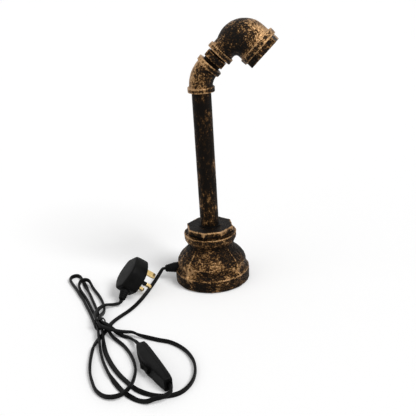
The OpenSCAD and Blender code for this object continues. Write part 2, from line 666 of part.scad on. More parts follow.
module lamp_lead() {
  color(black) tube(lamp_route, 0, lead_end);
}
module hank_lamp_side() {
  echo("least gap of the lamp side to itself", least_own(samples(lamp_route)));
  echo("least gap between the two sides", least_two(samples(lamp_route), samples(plug_route)));
  color(black) tube(lamp_route, lead_end, len(lamp_route) - 1);
}
module hank_plug_side() {
  echo("least gap of the plug side to itself", least_own(samples(plug_route)));
  color(black) tube(plug_route, 0, hank_end);
}
module plug_lead() {
  color(black) tube(plug_route, hank_end, len(plug_route) - 1);
}
module round_box(w, h, r) {
  for (sx = [-1, 1]) for (sy = [-1, 1]) translate([sx * (w / 2 - r), sy * (h / 2 - r)]) circle(r);
  square([w - 2 * r, h], center = true);
  square([w, h - 2 * r], center = true);
}
module cable_tie() {
  mid = (tie_in[0] + tie_in[1]) / 2;
  high = tie_in[1] - tie_in[0];
  color(black) tie_frame() {
    translate([-tie_w / 2, 0, mid]) rotate([90, 0, 90]) linear_extrude(tie_w) difference() {
      round_box(2 * (tie_half + tie_t), high + 2 * tie_t, tie_round + tie_t);
      round_box(2 * tie_half, high, tie_round);
    }
    translate([-tie_w / 2, tie_half - 2, tie_in[1]]) rotate([25, 0, 0]) cube([tie_w, 5, tie_t]);
    translate([-tie_w / 2, -tie_half - tie_t, tie_in[0] + 6]) rotate([225, 0, 0]) cube([tie_w, 4, tie_t]);
  }
}

// The switch lies on its side: x runs along it, its rocker faces -y
module switch_solid(edge) {
  side = [[-switch_half, 3], [-36, 1.2], [-22, 0], [22, 0], [36, 1.2], [switch_half, 3]];
  both = concat(side, [for (k = [len(side) - 1 : -1 : 0]) [side[k][0], switch_b - side[k][1]]]);
  intersection() {
    linear_extrude(switch_b) polygon(edge);
    translate([0, 30, 0]) rotate([90, 0, 0]) linear_extrude(60) polygon(both);
  }
}
module switch_room() {
  room = 40;
  deep = 7;
  wire_run = switch_l - 2 * pocket[0];
  translate([-room / 2, -deep, 3]) cube([room, deep + switch_bottom - switch_wall, switch_b - 6]);
  translate([-wire_run / 2, -2.2, switch_mid + 2]) cube([wire_run, 4.4, switch_mid - 5]);
  for (s = [-1, 1]) translate([s * (switch_half - pocket[0] / 2 - 1), 0, switch_mid])
    cube([pocket[0] + 4, 2 * pocket[1], 2 * pocket[2]], center = true);
}
module switch_bolts(gap) {
  for (s = [-1, 1]) translate([s * screw_x, switch_bottom - 1.4, switch_mid]) rotate([90, 0, 0]) {
    cylinder(r = 1.4 + gap, h = switch_bottom - 1.4 + switch_top - screw_cover);
    cylinder(r = 2.6 + gap, h = 1);
    translate([0, 0, -1.4]) cylinder(r = 2.6 + gap, h = gap > 0 ? 2.4 : 0.8 + 1.6);
  }
}
module switch_top_shell() {
  color(black) switch_frame() difference() {
    switch_solid([[-switch_half, 0], [-switch_half, -7], [-38, -8.6], [-24, -11], [-12, -switch_top],
      [3, -switch_top], [12, -9.8], [24, -8.6], [38, -6.6], [switch_half, -5.4], [switch_half, 0]]);
    switch_room();
    switch_bolts(run_gap);
    translate([-rocker_l / 2 - 1.1, -switch_top - 1, switch_mid - rocker_b / 2 - slot_gap])
      cube([rocker_l + 2.2, switch_top, rocker_b + 2 * slot_gap]);
    translate([0, pivot_y, 1]) cylinder(r = pivot_r + run_gap, h = switch_b - 2);
  }
}
module switch_bottom_shell() {
  color(black) switch_frame() difference() {
    switch_solid([[-switch_half, 0], [switch_half, 0], [switch_half, 4.8], [38, 5.3], [22, 5.5],
      [4, switch_bottom], [-26, switch_bottom], [-38, 5.6], [-switch_half, 5]]);
    switch_room();
    switch_bolts(run_gap);
  }
}
module switch_sleeves() {
  color(black) switch_frame() for (s = [-1, 1])
    translate([s * (switch_half - pocket[0] / 2), 0, switch_mid])
    cube([pocket[0], 2 * pocket[1], 2 * pocket[2]], center = true);
}
module switch_screws() {
  color(steel) switch_frame() switch_bolts(0);
}
module switch_contacts() {
  color(brass) switch_frame() for (s = [-1, 1])
    translate([s * 11.5 - 8, switch_bottom - switch_wall - 2, switch_mid - 2]) cube([16, 2, 4]);
}
module switch_rocker() {
  color(black) switch_frame() translate([0, pivot_y, 0]) rotate([0, 0, rocker_lean]) {
    translate([0, 0, switch_mid - rocker_b / 2]) linear_extrude(rocker_b)
      polygon([[-rocker_l / 2, -6.4], [0, -5.2], [rocker_l / 2, -6.4], [rocker_l / 2 - 1, -1],
        [3, 3], [-3, 3], [1 - rocker_l / 2, -1]]);
    translate([0, 0, 1.2]) cylinder(r = pivot_r, h = switch_b - 2.4);
  }
}

function plug_point(p, layer) = let (x = p[1] * layer[1], y = plug_mid_y + (p[0] - plug_mid_y) * layer[1])
  [x, y, -layer[0] * (plug_deep - (y - plug_cap_y) * plug_slope)];
module plug_shell() {
  half = len(plug_side);
  n = 2 * half;
  rows = len(plug_layers);
  outline = concat(plug_side, [for (k = [half - 1 : -1 : 0]) [plug_side[k][0], -plug_side[k][1]]]);
  pts = [for (l = plug_layers) for (p = outline) plug_point(p, l)];
  last = (rows - 1) * n;
  sides = [for (i = [0 : rows - 2]) for (j = [0 : n - 1])
    let (p = i * n + j, q = i * n + (j + 1) % n) each [[p, q, q + n], [p, q + n, p + n]]];
  start = [for (j = [1 : n - 2]) [0, j + 1, j]];
  finish = [for (j = [1 : n - 2]) [last, last + j, last + j + 1]];
  polyhedron(pts, concat(start, sides, finish), convexity = 6);
}
module pin_box(w, t, from, to) {
  translate([-w / 2, -t / 2, from]) cube([w, t, to - from]);
}
module plug_body() {
  color(black) plug_frame() difference() {
    plug_shell();
    for (s = [-1, 1]) translate([s * pin_half, 0, 0]) pin_box(pin_w - 2 * pin_skin, pin_t - 2 * pin_skin, -pin_in, 1);
    translate([0, earth_y, 0]) pin_box(pin_t, earth_w, -pin_in, 1);
    translate([0, carrier_y, 0])
      pin_box(carrier_l + 2 * slot_gap, carrier_w + 2 * slot_gap, -carrier_d - slot_gap, 1);
    translate([0, plug_cap_y + sleeve_in, exit_z]) rotate([90, 0, 0]) cylinder(r = sleeve_r + run_gap, h = sleeve_in + 5);
  }
}
module plug_sleeve() {
  color(black) plug_frame() translate([0, plug_cap_y + sleeve_in, exit_z]) rotate([90, 0, 0]) {
    cylinder(r = sleeve_r, h = sleeve_in);
    translate([0, 0, sleeve_in]) cylinder(r1 = sleeve_r, r2 = sleeve_tip_r, h = sleeve_l);
  }
}
module earth_pin() {
  color(brass) plug_frame() translate([0, earth_y, 0]) {
    pin_box(pin_t, earth_w, -pin_in, earth_l - 1.5);
    translate([0, 0, earth_l - 1.5]) pin_box(pin_t - 1.6, earth_w - 1.6, 0, 1.5);
  }
}
module flat_pin(side) {
  color(brass) plug_frame() translate([side * pin_half, 0, 0]) {
    pin_box(pin_w - 2 * pin_skin, pin_t - 2 * pin_skin, -pin_in, pin_sleeve_l);
    pin_box(pin_w, pin_t, pin_sleeve_l, pin_l - 1.2);
    pin_box(pin_w - 1.4, pin_t - 1.4, pin_l - 1.2, pin_l);
  }
}
module live_pin() {
  flat_pin(1);
}
module neutral_pin() {
  flat_pin(-1);
}
module pin_sleeves() {
  color(black) plug_frame() for (s = [-1, 1]) translate([s * pin_half, 0, 0]) difference() {
    pin_box(pin_w, pin_t, 0, pin_sleeve_l);
    pin_box(pin_w - 2 * pin_skin, pin_t - 2 * pin_skin, -1, pin_sleeve_l + 1);
  }
}
module fuse_carrier() {
  color(black) plug_frame() translate([0, carrier_y, 0]) difference() {
    pin_box(carrier_l, carrier_w, -carrier_d, 0.8);
    pin_box(fuse_l, 2 * fuse_r, -carrier_d - 1, -carrier_d / 2);
    translate([-fuse_l / 2, 0, -carrier_d / 2]) rotate([0, 90, 0]) cylinder(r = fuse_r, h = fuse_l);
  }
}
module fuse_link() {
  color(steel) plug_frame() translate([-fuse_l / 2, carrier_y, -carrier_d / 2])
    rotate([0, 90, 0]) cylinder(r = fuse_r, h = fuse_l);
}

foot_pad();
base_plate();
base_reducer();
base_bush();
pipe_seal();
stem_pipe();
cord_grip();
grip_nut();
base_flex();
terminal_block();
terminal_screws();
stem_flex();
elbow_45();
hex_nipple();
nipple_grommet();
elbow_flex();
nipple_flex();
elbow_90();
mouth_bush();
lampholder_body();
lampholder_shell();
lampholder_ring();
centre_contact();
side_contact();
lampholder_cap();
holder_screws();
head_flex();
lamp_lead();
hank_lamp_side();
hank_plug_side();
plug_lead();
cable_tie();
switch_top_shell();
switch_bottom_shell();
switch_sleeves();
switch_screws();
switch_contacts();
switch_rocker();
plug_body();
plug_sleeve();
earth_pin();
live_pin();
neutral_pin();
pin_sleeves();
fuse_carrier();
fuse_link();
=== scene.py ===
"""Table lamp of screwed pipe fittings, with its flex, in-line switch and three-pin plug."""
from math import atan2, copysign, cos, exp, hypot, pi, radians, sin, tan, tau

import bmesh
import bpy
from mathutils import Matrix, Vector, noise
from mathutils.kdtree import KDTree
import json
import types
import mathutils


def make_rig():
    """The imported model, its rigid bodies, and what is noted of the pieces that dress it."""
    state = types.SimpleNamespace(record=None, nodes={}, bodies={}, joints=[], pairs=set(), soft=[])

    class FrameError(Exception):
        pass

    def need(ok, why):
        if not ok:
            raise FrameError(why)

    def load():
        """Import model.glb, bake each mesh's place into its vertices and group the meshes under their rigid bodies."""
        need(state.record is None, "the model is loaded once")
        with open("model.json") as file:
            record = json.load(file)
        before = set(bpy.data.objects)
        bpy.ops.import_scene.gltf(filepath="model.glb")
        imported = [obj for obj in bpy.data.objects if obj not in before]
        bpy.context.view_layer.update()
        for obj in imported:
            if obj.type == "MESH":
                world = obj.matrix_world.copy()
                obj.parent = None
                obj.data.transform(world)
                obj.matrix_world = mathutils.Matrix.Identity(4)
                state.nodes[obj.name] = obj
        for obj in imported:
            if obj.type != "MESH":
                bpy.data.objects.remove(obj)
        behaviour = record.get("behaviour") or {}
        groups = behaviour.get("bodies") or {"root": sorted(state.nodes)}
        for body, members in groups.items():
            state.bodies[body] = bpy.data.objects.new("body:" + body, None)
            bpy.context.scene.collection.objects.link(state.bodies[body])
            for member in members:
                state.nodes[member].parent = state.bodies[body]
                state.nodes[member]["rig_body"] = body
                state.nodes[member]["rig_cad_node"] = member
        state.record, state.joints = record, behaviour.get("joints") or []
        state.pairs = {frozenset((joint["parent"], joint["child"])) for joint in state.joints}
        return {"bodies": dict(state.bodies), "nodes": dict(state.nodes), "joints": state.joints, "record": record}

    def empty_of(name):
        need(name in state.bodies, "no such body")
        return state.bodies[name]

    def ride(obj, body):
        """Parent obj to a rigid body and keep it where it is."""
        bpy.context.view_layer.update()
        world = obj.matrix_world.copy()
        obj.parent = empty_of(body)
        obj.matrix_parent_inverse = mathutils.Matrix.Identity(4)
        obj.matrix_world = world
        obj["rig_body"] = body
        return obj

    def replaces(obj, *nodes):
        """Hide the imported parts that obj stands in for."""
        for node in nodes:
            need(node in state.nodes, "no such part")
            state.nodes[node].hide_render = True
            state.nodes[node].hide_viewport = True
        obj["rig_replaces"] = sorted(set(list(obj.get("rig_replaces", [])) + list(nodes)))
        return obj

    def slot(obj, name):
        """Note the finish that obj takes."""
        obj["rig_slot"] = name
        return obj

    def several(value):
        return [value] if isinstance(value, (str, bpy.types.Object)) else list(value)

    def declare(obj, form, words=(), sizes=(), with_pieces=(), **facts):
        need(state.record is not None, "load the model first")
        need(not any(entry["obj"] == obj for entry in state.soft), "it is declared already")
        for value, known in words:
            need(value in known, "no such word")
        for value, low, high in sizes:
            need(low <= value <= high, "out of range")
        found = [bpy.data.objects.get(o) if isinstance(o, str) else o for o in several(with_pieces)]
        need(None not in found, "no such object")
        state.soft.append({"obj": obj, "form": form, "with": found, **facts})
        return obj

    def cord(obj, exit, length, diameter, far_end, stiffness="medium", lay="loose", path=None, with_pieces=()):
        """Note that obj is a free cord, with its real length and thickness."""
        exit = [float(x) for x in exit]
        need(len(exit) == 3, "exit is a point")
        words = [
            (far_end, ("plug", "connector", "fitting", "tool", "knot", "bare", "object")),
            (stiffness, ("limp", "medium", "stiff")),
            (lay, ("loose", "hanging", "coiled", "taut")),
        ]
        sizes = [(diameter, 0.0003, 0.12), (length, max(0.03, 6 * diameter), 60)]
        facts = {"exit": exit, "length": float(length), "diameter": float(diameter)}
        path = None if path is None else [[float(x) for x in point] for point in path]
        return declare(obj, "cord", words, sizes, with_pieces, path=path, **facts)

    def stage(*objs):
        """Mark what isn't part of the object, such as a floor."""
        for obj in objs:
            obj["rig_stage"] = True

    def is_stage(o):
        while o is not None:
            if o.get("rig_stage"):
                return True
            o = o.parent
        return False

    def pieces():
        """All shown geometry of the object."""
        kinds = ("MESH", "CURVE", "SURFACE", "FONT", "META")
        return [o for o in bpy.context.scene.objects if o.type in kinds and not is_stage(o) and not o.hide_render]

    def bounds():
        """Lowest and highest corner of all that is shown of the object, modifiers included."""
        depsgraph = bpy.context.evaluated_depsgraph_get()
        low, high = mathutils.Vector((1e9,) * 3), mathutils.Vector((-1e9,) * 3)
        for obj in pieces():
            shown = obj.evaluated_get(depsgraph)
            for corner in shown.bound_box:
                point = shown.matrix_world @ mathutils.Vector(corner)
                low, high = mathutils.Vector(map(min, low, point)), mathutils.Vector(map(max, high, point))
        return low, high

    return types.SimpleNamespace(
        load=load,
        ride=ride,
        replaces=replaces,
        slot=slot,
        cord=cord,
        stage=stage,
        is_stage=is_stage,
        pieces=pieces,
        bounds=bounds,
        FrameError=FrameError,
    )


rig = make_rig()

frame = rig.load()
cad_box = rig.bounds()
mm = 0.001

# Camera. It stands a metre in front of the lamp and half a metre up, and looks down on it by
# 21 degrees, with the picture turned a little to the left.
eye = Vector((0, -0.97592, 0.49282))
heading, dip, tilt = radians(-0.058), radians(21.346), radians(-3.638)
forward = Vector((sin(heading) * cos(dip), cos(heading) * cos(dip), -sin(dip)))
level = Vector((cos(heading), -sin(heading), 0))
rise = level.cross(forward)
across = level * cos(tilt) + rise * sin(tilt)
upward = rise * cos(tilt) - level * sin(tilt)
camera = bpy.data.objects.new("camera", bpy.data.cameras.new("camera"))
camera.data.sensor_width, camera.data.lens = 36, 62.44
camera.data.clip_start, camera.data.clip_end = 0.01, 50
facing = Matrix((across, upward, -forward)).transposed().to_4x4()
camera.matrix_world = Matrix.Translation(eye) @ facing
bpy.context.scene.collection.objects.link(camera)
bpy.context.scene.camera = camera

# Flex. A flat twin lead of black PVC, 6 by 3.6 mm, moulded with a shallow groove between its
# cores. It leaves the base, is gathered in a hank with the switch in it, and ends in the plug.
# A route's points are x, y, z in millimetres and the turn of the flat side from level in degrees.
flex_w, flex_t = 6, 3.6
flex_sides, ring_gap = 20, 2.6
wide_fullness, thin_fullness = 0.8, 0.75
groove_depth, groove_w = 0.17, 0.6
same_point = 0.001
wear_reach, least_bend = 1.3, 0.4
full_gap, least_gap = 1.6, 0.05
to_switch = [(-70.3, 0, 18.7, 0), (-74.3, 0, 18.4, 0), (-79, -4, 13.5, 0), (-84.5, -11, 7.6, 0),
    (-89.5, -19.5, 4, 0), (-94, -30, 2, 0), (-99, -46, 1.9, 0), (-105, -63, 1.9, 0), (-112, -79, 1.9, 0),
    (-120, -93, 1.9, 0), (-129, -105, 1.9, 0), (-136.5, -116, 1.9, 0), (-140.5, -124, 1.9, 0),
    (-143, -133, 1.9, 0), (-146, -142, 1.9, 0), (-149.5, -152, 1.9, 0), (-153, -163, 2, 0),
    (-156, -174, 2.5, 30), (-157.5, -188, 3.2, 90), (-157.5, -205, 3.1, 90), (-156.5, -223, 3.1, 90),
    (-154, -241, 3.1, 90), (-149.5, -258, 3.1, 90), (-143, -275.5, 3.1, 90), (-132.5, -289, 4, 90),
    (-120.5, -295, 6.4, 90), (-109.5, -291.5, 7.7, 90), (-102, -277.5, 7.8, 90), (-99.3, -258.5, 6.4, 90),
    (-100, -237, 3.4, 90), (-104, -218, 3.1, 90), (-110, -201, 3.1, 90), (-118, -185, 3.1, 90),
    (-127, -172, 3.1, 90), (-134.5, -162, 3.8, 90), (-140, -152, 5.6, 90), (-145.3, -141.8, 7.8, 90),
    (-150, -132, 5.2, 90), (-153.6, -124, 4.6, 90), (-157.6, -113, 3.3, 90), (-161, -100, 3.1, 90),
    (-165.2, -85, 3.1, 90), (-170, -70, 3.1, 90), (-175, -55, 3.1, 90), (-180, -40, 3.1, 90),
    (-185.5, -25, 2.8, 50), (-190, -12, 1.9, 0), (-194, -1, 1.9, 0), (-197.5, 9, 2.8, 50),
    (-202, 19, 3.1, 90), (-208, 25.5, 3.1, 90), (-215, 23.5, 3.1, 90), (-217.5, 15, 3.1, 90),
    (-214.5, 5, 3.1, 90), (-209, -7, 3.1, 90), (-202, -22, 3.1, 90), (-195.2, -38, 3.1, 90),
    (-188.6, -52.5, 3.1, 90), (-182.6, -68.5, 3.1, 90), (-176.8, -84, 3.1, 90), (-171, -100, 3.1, 90),
    (-166.3, -115, 3.3, 90), (-162.2, -128, 4.6, 90), (-158.2, -136, 4.9, 90), (-155.6, -146, 6.6, 90),
    (-153.6, -157, 7.4, 90), (-151.8, -168, 7.4, 90), (-149.5, -180, 5.6, 90), (-146.8, -195, 3.4, 90),
    (-142.5, -212, 3.1, 90), (-137, -229, 3.1, 90), (-130, -247, 3.1, 90), (-121.5, -264, 2.7, 40),
    (-112, -279, 1.9, 0), (-102, -291.5, 2.7, 40), (-92, -300.5, 3.2, 90), (-82, -305.5, 5, 90),
    (-74, -306.5, 8.4, 90), (-66, -306, 9.8, 90), (-59, -302, 10, 90), (-55.2, -296, 10, 90),
    (-55.4, -289.1, 10, 90), (-57.7, -283.6, 10, 90)]
to_plug = [(-94.3, -201.4, 10, 90), (-96.5, -196.4, 10, 90), (-101.5, -186.5, 8.6, 80),
    (-106.5, -175, 5, 50), (-113, -165, 2.8, 20), (-121, -158.5, 2, 0), (-128.5, -154.5, 4.4, 0),
    (-135.5, -150.5, 9, 0), (-142.5, -146, 13.2, 10), (-148, -140.5, 14, 40), (-152, -133, 11.6, 90),
    (-155, -125, 11.4, 90), (-155.3, -115, 10.2, 90), (-153.8, -104, 7, 90), (-153.8, -92, 4, 90),
    (-155.5, -79, 3.1, 90), (-160, -62, 3.1, 90), (-166, -46, 3.1, 90), (-173, -31, 3.1, 90),
    (-179, -18, 3.4, 90), (-183, -9, 5.6, 90), (-187, -2, 7.5, 90), (-193, 1, 7.6, 90),
    (-198.5, -2.5, 7.5, 90), (-200, -11, 5.8, 90), (-197.5, -21, 3.6, 90), (-192.5, -33, 3.1, 90),
    (-187.2, -44, 3.1, 90), (-182.6, -55, 3.1, 90), (-177, -70, 3.1, 90), (-171.2, -86, 3.1, 90),
    (-165.8, -101, 3.1, 90), (-161.6, -116, 3.4, 90), (-158, -126, 4.7, 90), (-154.2, -134, 4.9, 90),
    (-151.2, -143, 7, 90), (-148.8, -153, 7.4, 90), (-146.8, -164, 5.8, 80), (-145, -176, 3.4, 50),
    (-141.5, -192, 2, 0), (-135.5, -210, 1.9, 0), (-127.5, -229, 1.9, 0), (-118, -247, 1.9, 0),
    (-108, -262, 1.9, 0), (-98.5, -275, 2, 10), (-88.5, -285, 2.9, 60), (-78.5, -291, 3.1, 90),
    (-68.5, -294.5, 3.1, 85), (-58, -295, 3.1, 90), (-47, -291.5, 3.1, 90), (-38, -282.5, 3.1, 90),
    (-31, -268, 3.1, 90), (-28, -249, 3.1, 90), (-30, -228, 3.1, 90), (-37, -209, 3.1, 90),
    (-47, -194, 3.1, 90), (-60, -182, 3.1, 90), (-74, -175.5, 3.1, 90), (-88, -168.5, 3.4, 90),
    (-100, -163.5, 5, 60), (-109, -159, 7.2, 20), (-117, -158.5, 8, 0), (-125, -158, 9, 0),
    (-133, -157, 10.8, 0), (-141, -155.5, 13, 0), (-148, -151.5, 14, 10), (-153, -144.5, 13.8, 40),
    (-156, -136, 12, 90), (-160, -127, 11.4, 90), (-162, -117, 10.6, 60), (-162.7, -107, 9.6, 10),
    (-161.5, -97.5, 9, 0), (-158.3, -90, 9, 0), (-152.8, -84, 8.8, 0), (-147.5, -78.3, 6, 0),
    (-142.5, -75, 4, 0), (-138, -73.8, 3.9, 0), (-134.6, -74.6, 5, 0), (-132.2, -73.9, 6.85, 0),
    (-130.9, -70.9, 9.15, 0)]


def squared(value, power):
    """Raises the size of a value from -1 to 1 and keeps its sign, which makes a circle squarer."""
    return copysign(abs(value) ** power, value)


def eased(route):
    """A smooth line through the route's points, with a ring's place about every ring_gap."""
    fine = []
    for i in range(len(route) - 1):
        a, b, c, d = (Vector(route[min(max(k, 0), len(route) - 1)]) for k in range(i - 1, i + 3))
        count = max(1, round((c - b).xyz.length / ring_gap))
        for k in range(count):
            t = k / count
            fine.append(b + (c - a) * t / 2 + (a - b * 2.5 + c * 2 - d / 2) * t ** 2
                + (b * 1.5 - a / 2 - c * 1.5 + d / 2) * t ** 3)
    return fine + [Vector(route[-1])]


def carry(bm, loop, place):
    """Extrudes a loop of edges, puts each new corner where place says, and returns the new loop."""
    made = bmesh.ops.extrude_edge_only(bm, edges=loop)["geom"]
    fresh = {v for v in made if isinstance(v, bmesh.types.BMVert)}
    for v in fresh:
        v.co = place(v.co.copy())
    return [e for e in made if isinstance(e, bmesh.types.BMEdge) and fresh.issuperset(e.verts)]


def flex_frame(line, i):
    """Middle, wide direction and thin direction of the flex at ring i."""
    ahead = (line[min(i + 1, len(line) - 1)].xyz - line[max(i - 1, 0)].xyz).normalized()
    side = Vector((0, 0, 1)).cross(ahead).normalized()
    turn = radians(line[i][3])
    wide = side * cos(turn) + ahead.cross(side) * sin(turn)
    return line[i].xyz, wide, ahead.cross(wide)


def flex_mesh(route):
    """The flex swept along its route."""
    line = eased(route)
    bm = bmesh.new()
    bmesh.ops.create_circle(bm, segments=flex_sides, radius=1)
    middle, wide, thin = flex_frame(line, 0)
    for v in bm.verts:
        x = flex_w / 2 * squared(v.co.x, wide_fullness)
        groove = 1 - groove_depth * exp(-(x / groove_w) ** 2)
        y = flex_t / 2 * squared(v.co.y, thin_fullness) * groove
        v.co = middle + wide * x + thin * y
    loop = bm.edges[:]
    for i in range(1, len(line)):
        old, old_wide, old_thin = middle, wide, thin
        middle, wide, thin = flex_frame(line, i)
        loop = carry(bm, loop, lambda p: middle + wide * (p - old).dot(old_wide)
            + thin * (p - old).dot(old_thin))
    bmesh.ops.holes_fill(bm, edges=bm.edges[:], sides=0)
    return bm, [p.xyz * mm for p in line]


def material(name, **values):
    """A new material whose shader has these plain values, and its shader node."""
    made = bpy.data.materials.new(name)
    made.use_nodes = True
    shader = made.node_tree.nodes["Principled BSDF"]
    for socket, value in values.items():
        shader.inputs[socket.replace("_", " ")].default_value = value
    return made, shader


def node(tree, kind, *inputs, **settings):
    """Adds a shader node; inputs are values or sockets in the node's order, None where it keeps
    its own."""
    made = tree.nodes.new("ShaderNode" + kind)
    for name, value in settings.items():
        setattr(made, name, value)
    for socket, value in zip(made.inputs, inputs):
        if isinstance(value, bpy.types.NodeSocket):
            tree.links.new(value, socket)
        elif value is not None:
            socket.default_value = value
    return made


def ramp(tree, factor, *stops):
    """A colour ramp through (place, colour) stops."""
    made = node(tree, "ValToRGB", factor)
    elements = made.color_ramp.elements
    while len(elements) < len(stops):
        elements.new(0.5)
    for element, (place, colour) in zip(elements, stops):
        element.position, element.color = place, (*colour, 1)
    return made.outputs["Color"]


def lumps(tree, place, scale, detail=3, roughness=0.6):
    """Noise by place, drawn scale times to the metre."""
    return node(tree, "TexNoise", place, None, scale, detail, roughness).outputs["Fac"]


def mapped(tree, value, low, high, new_low, new_high, **settings):
    """The value, with low to high made new_low to new_high."""
    return node(tree, "MapRange", value, low, high, new_low, new_high, **settings).outputs["Result"]


def roughened(tree, shader, height, strength, depth):
    """Raises the shader's face by height, in metres of depth."""
    bump = node(tree, "Bump", strength, depth)
    tree.links.new(height, bump.inputs["Height"])
    tree.links.new(bump.outputs["Normal"], shader.inputs["Normal"])


def moulded(name, dark, light, rough, grain, depth):
    """Moulded plastic or rubber: two close shades, fine grain and a little unevenness."""
    made, shader = material(name, Specular_IOR_Level=0.06)
    tree = made.node_tree
    place = node(tree, "TexCoord").outputs["Object"]
    cloud = lumps(tree, place, 60, 4)
    tree.links.new(ramp(tree, cloud, (0.35, dark), (0.7, light)), shader.inputs["Base Color"])
    sheen = mapped(tree, cloud, 0.3, 0.7, rough - 0.06, rough + 0.08)
    tree.links.new(sheen, shader.inputs["Roughness"])
    roughened(tree, shader, lumps(tree, place, grain), 0.35, depth)
    return made


def set_piece(bm, name, body, slot, finish, nodes=(), place=Matrix(), rub_and_light=lambda p: 0):
    """Makes an object of a mesh drawn in millimetres in its own frame, and puts it on its body.
    Its last argument says how much more of its copper shows at a point of that frame: rubbing, and on some pieces
    painted highlights, shade and reflections."""
    bmesh.ops.remove_doubles(bm, verts=bm.verts[:], dist=same_point)
    bmesh.ops.recalc_face_normals(bm, faces=bm.faces[:])
    mark_wear_and_light(bm, rub_and_light)
    bm.transform(Matrix.Scale(mm, 4) @ place)
    for face in bm.faces:
        face.smooth = True
    mesh = bpy.data.meshes.new(name)
    bm.to_mesh(mesh)
    bm.free()
    mesh.materials.append(finish)
    piece = bpy.data.objects.new(name, mesh)
    bpy.context.scene.collection.objects.link(piece)
    piece.modifiers.new("even_shading", "WEIGHTED_NORMAL").keep_sharp = True
    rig.ride(piece, body)
    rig.slot(piece, slot)
    if nodes:
        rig.replaces(piece, *nodes)
    return piece


def mark_wear_and_light(bm, rub_and_light):
    """Stores how near each point is to an edge that stands out: 1 on it, fading over wear_reach, and adds the piece's
    rubbing, which on some pieces also holds painted highlights, shade and reflections. A bend counts in full where its
    faces lie full_gap apart."""
    wear_and_light = bm.verts.layers.float.get("wear_and_light") or bm.verts.layers.float.new("wear_and_light")
    sharp = {}
    for e in bm.edges:
        if len(e.link_faces) == 2:
            one, other = (face.calc_center_median() for face in e.link_faces)
            bend = e.calc_face_angle_signed(0) * full_gap / max((one - other).length, least_gap)
            for v in e.verts:
                sharp[v] = max(sharp.get(v, 0), bend)
    edges = [(v, min(1, bend)) for v, bend in sharp.items() if bend > least_bend]
    tree = KDTree(len(edges))
    for k, (v, bend) in enumerate(edges):
        tree.insert(v.co, k)
    tree.balance()
    for v in bm.verts:
        near, k, gap = tree.find(v.co)
        v[wear_and_light] = (edges[k][1] * exp(-(gap / wear_reach) ** 2) if near else 0) + rub_and_light(v.co)


flex_finish = moulded("black_flex", (0.003, 0.003, 0.003), (0.008, 0.008, 0.0078), 0.42, 900,
    0.0003)
flexes = []
for name, route, nodes, length, end in (
        ("flex_to_switch", to_switch, ("lamp_lead", "hank_lamp_side"), 1.11, "fitting"),
        ("flex_to_plug", to_plug, ("hank_plug_side", "plug_lead"), 0.93, "plug")):
    bm, path = flex_mesh(route)
    flex = set_piece(bm, name, "stand", "black_flex", flex_finish, nodes)
    flexes.append((flex, path, length, end))

# Bench and light. A pale floor and a white surround, one broad soft light from the upper right
# and a weaker one from the left. The surround is dimmer as a light than it looks.
floor_size, floor_glow, surround_light = 9, 0.16, 0.38
floor_finish, floor_shader = material("pale_floor", Base_Color=(0.9, 0.9, 0.9, 1), Roughness=0.9,
    Specular_IOR_Level=0.0, Emission_Color=(1, 1, 1, 1))
tree = floor_finish.node_tree
seen = node(tree, "LightPath").outputs["Is Camera Ray"]
glow = node(tree, "Math", seen, floor_glow, operation="MULTIPLY").outputs[0]
tree.links.new(glow, floor_shader.inputs["Emission Strength"])
bm = bmesh.new()
bmesh.ops.create_grid(bm, x_segments=4, y_segments=4, size=floor_size)
floor_mesh = bpy.data.meshes.new("floor")
bm.to_mesh(floor_mesh)
bm.free()
floor_mesh.materials.append(floor_finish)
floor = bpy.data.objects.new("floor", floor_mesh)
bpy.context.scene.collection.objects.link(floor)
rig.stage(floor)
for name, strength, angle, turn in (
        ("key", 2.1, 25, (42, 10, 38)),
        ("fill", 0.35, 60, (52, 0, -60))):
    sun = bpy.data.lights.new(name, "SUN")
    sun.energy, sun.angle = strength, radians(angle)
    lamp = bpy.data.objects.new(name, sun)
    lamp.rotation_euler = [radians(a) for a in turn]
    bpy.context.scene.collection.objects.link(lamp)
world = bpy.data.worlds.new("surround")
bpy.context.scene.world = world
world.use_nodes = True
tree = world.node_tree
rays = node(tree, "LightPath").outputs
seen = rays["Is Camera Ray"]
for ray in ("Is Glossy Ray", "Is Transmission Ray"):
    seen = node(tree, "Math", seen, rays[ray], operation="MAXIMUM").outputs[0]
strength = mapped(tree, seen, 0, 1, surround_light, 1)
tree.links.new(strength, tree.nodes["Background"].inputs["Strength"])
tree.nodes["Background"].inputs["Color"].default_value = (1, 1, 1, 1)
bpy.context.scene.view_settings.view_transform = "Standard"

# Base. A cast iron 3 x 2 inch reducing socket, standing on its wide end: a flat ring, a belly
# with four ribs, a waist and a beaded mouth. Painted black and rubbed over with copper.
ring_r, belly_r, waist_r, top_bead_r = 54.7, 50.4, 33.5, 38.1
base_h, cavity_r, throat_r = 75, 44, 29.8
belly_z, waist_z, bead_z = 35.5, 54.3, 68
rib_turn, rib_foot, rib_top = -44, 17, 57
post_top, post_fade, strut_top = 36, 9, 31
# The first of these is the bearing of the base's painted highlight.
painted_highlight_bearing, ring_top, bead_foot = -112, 18, 63


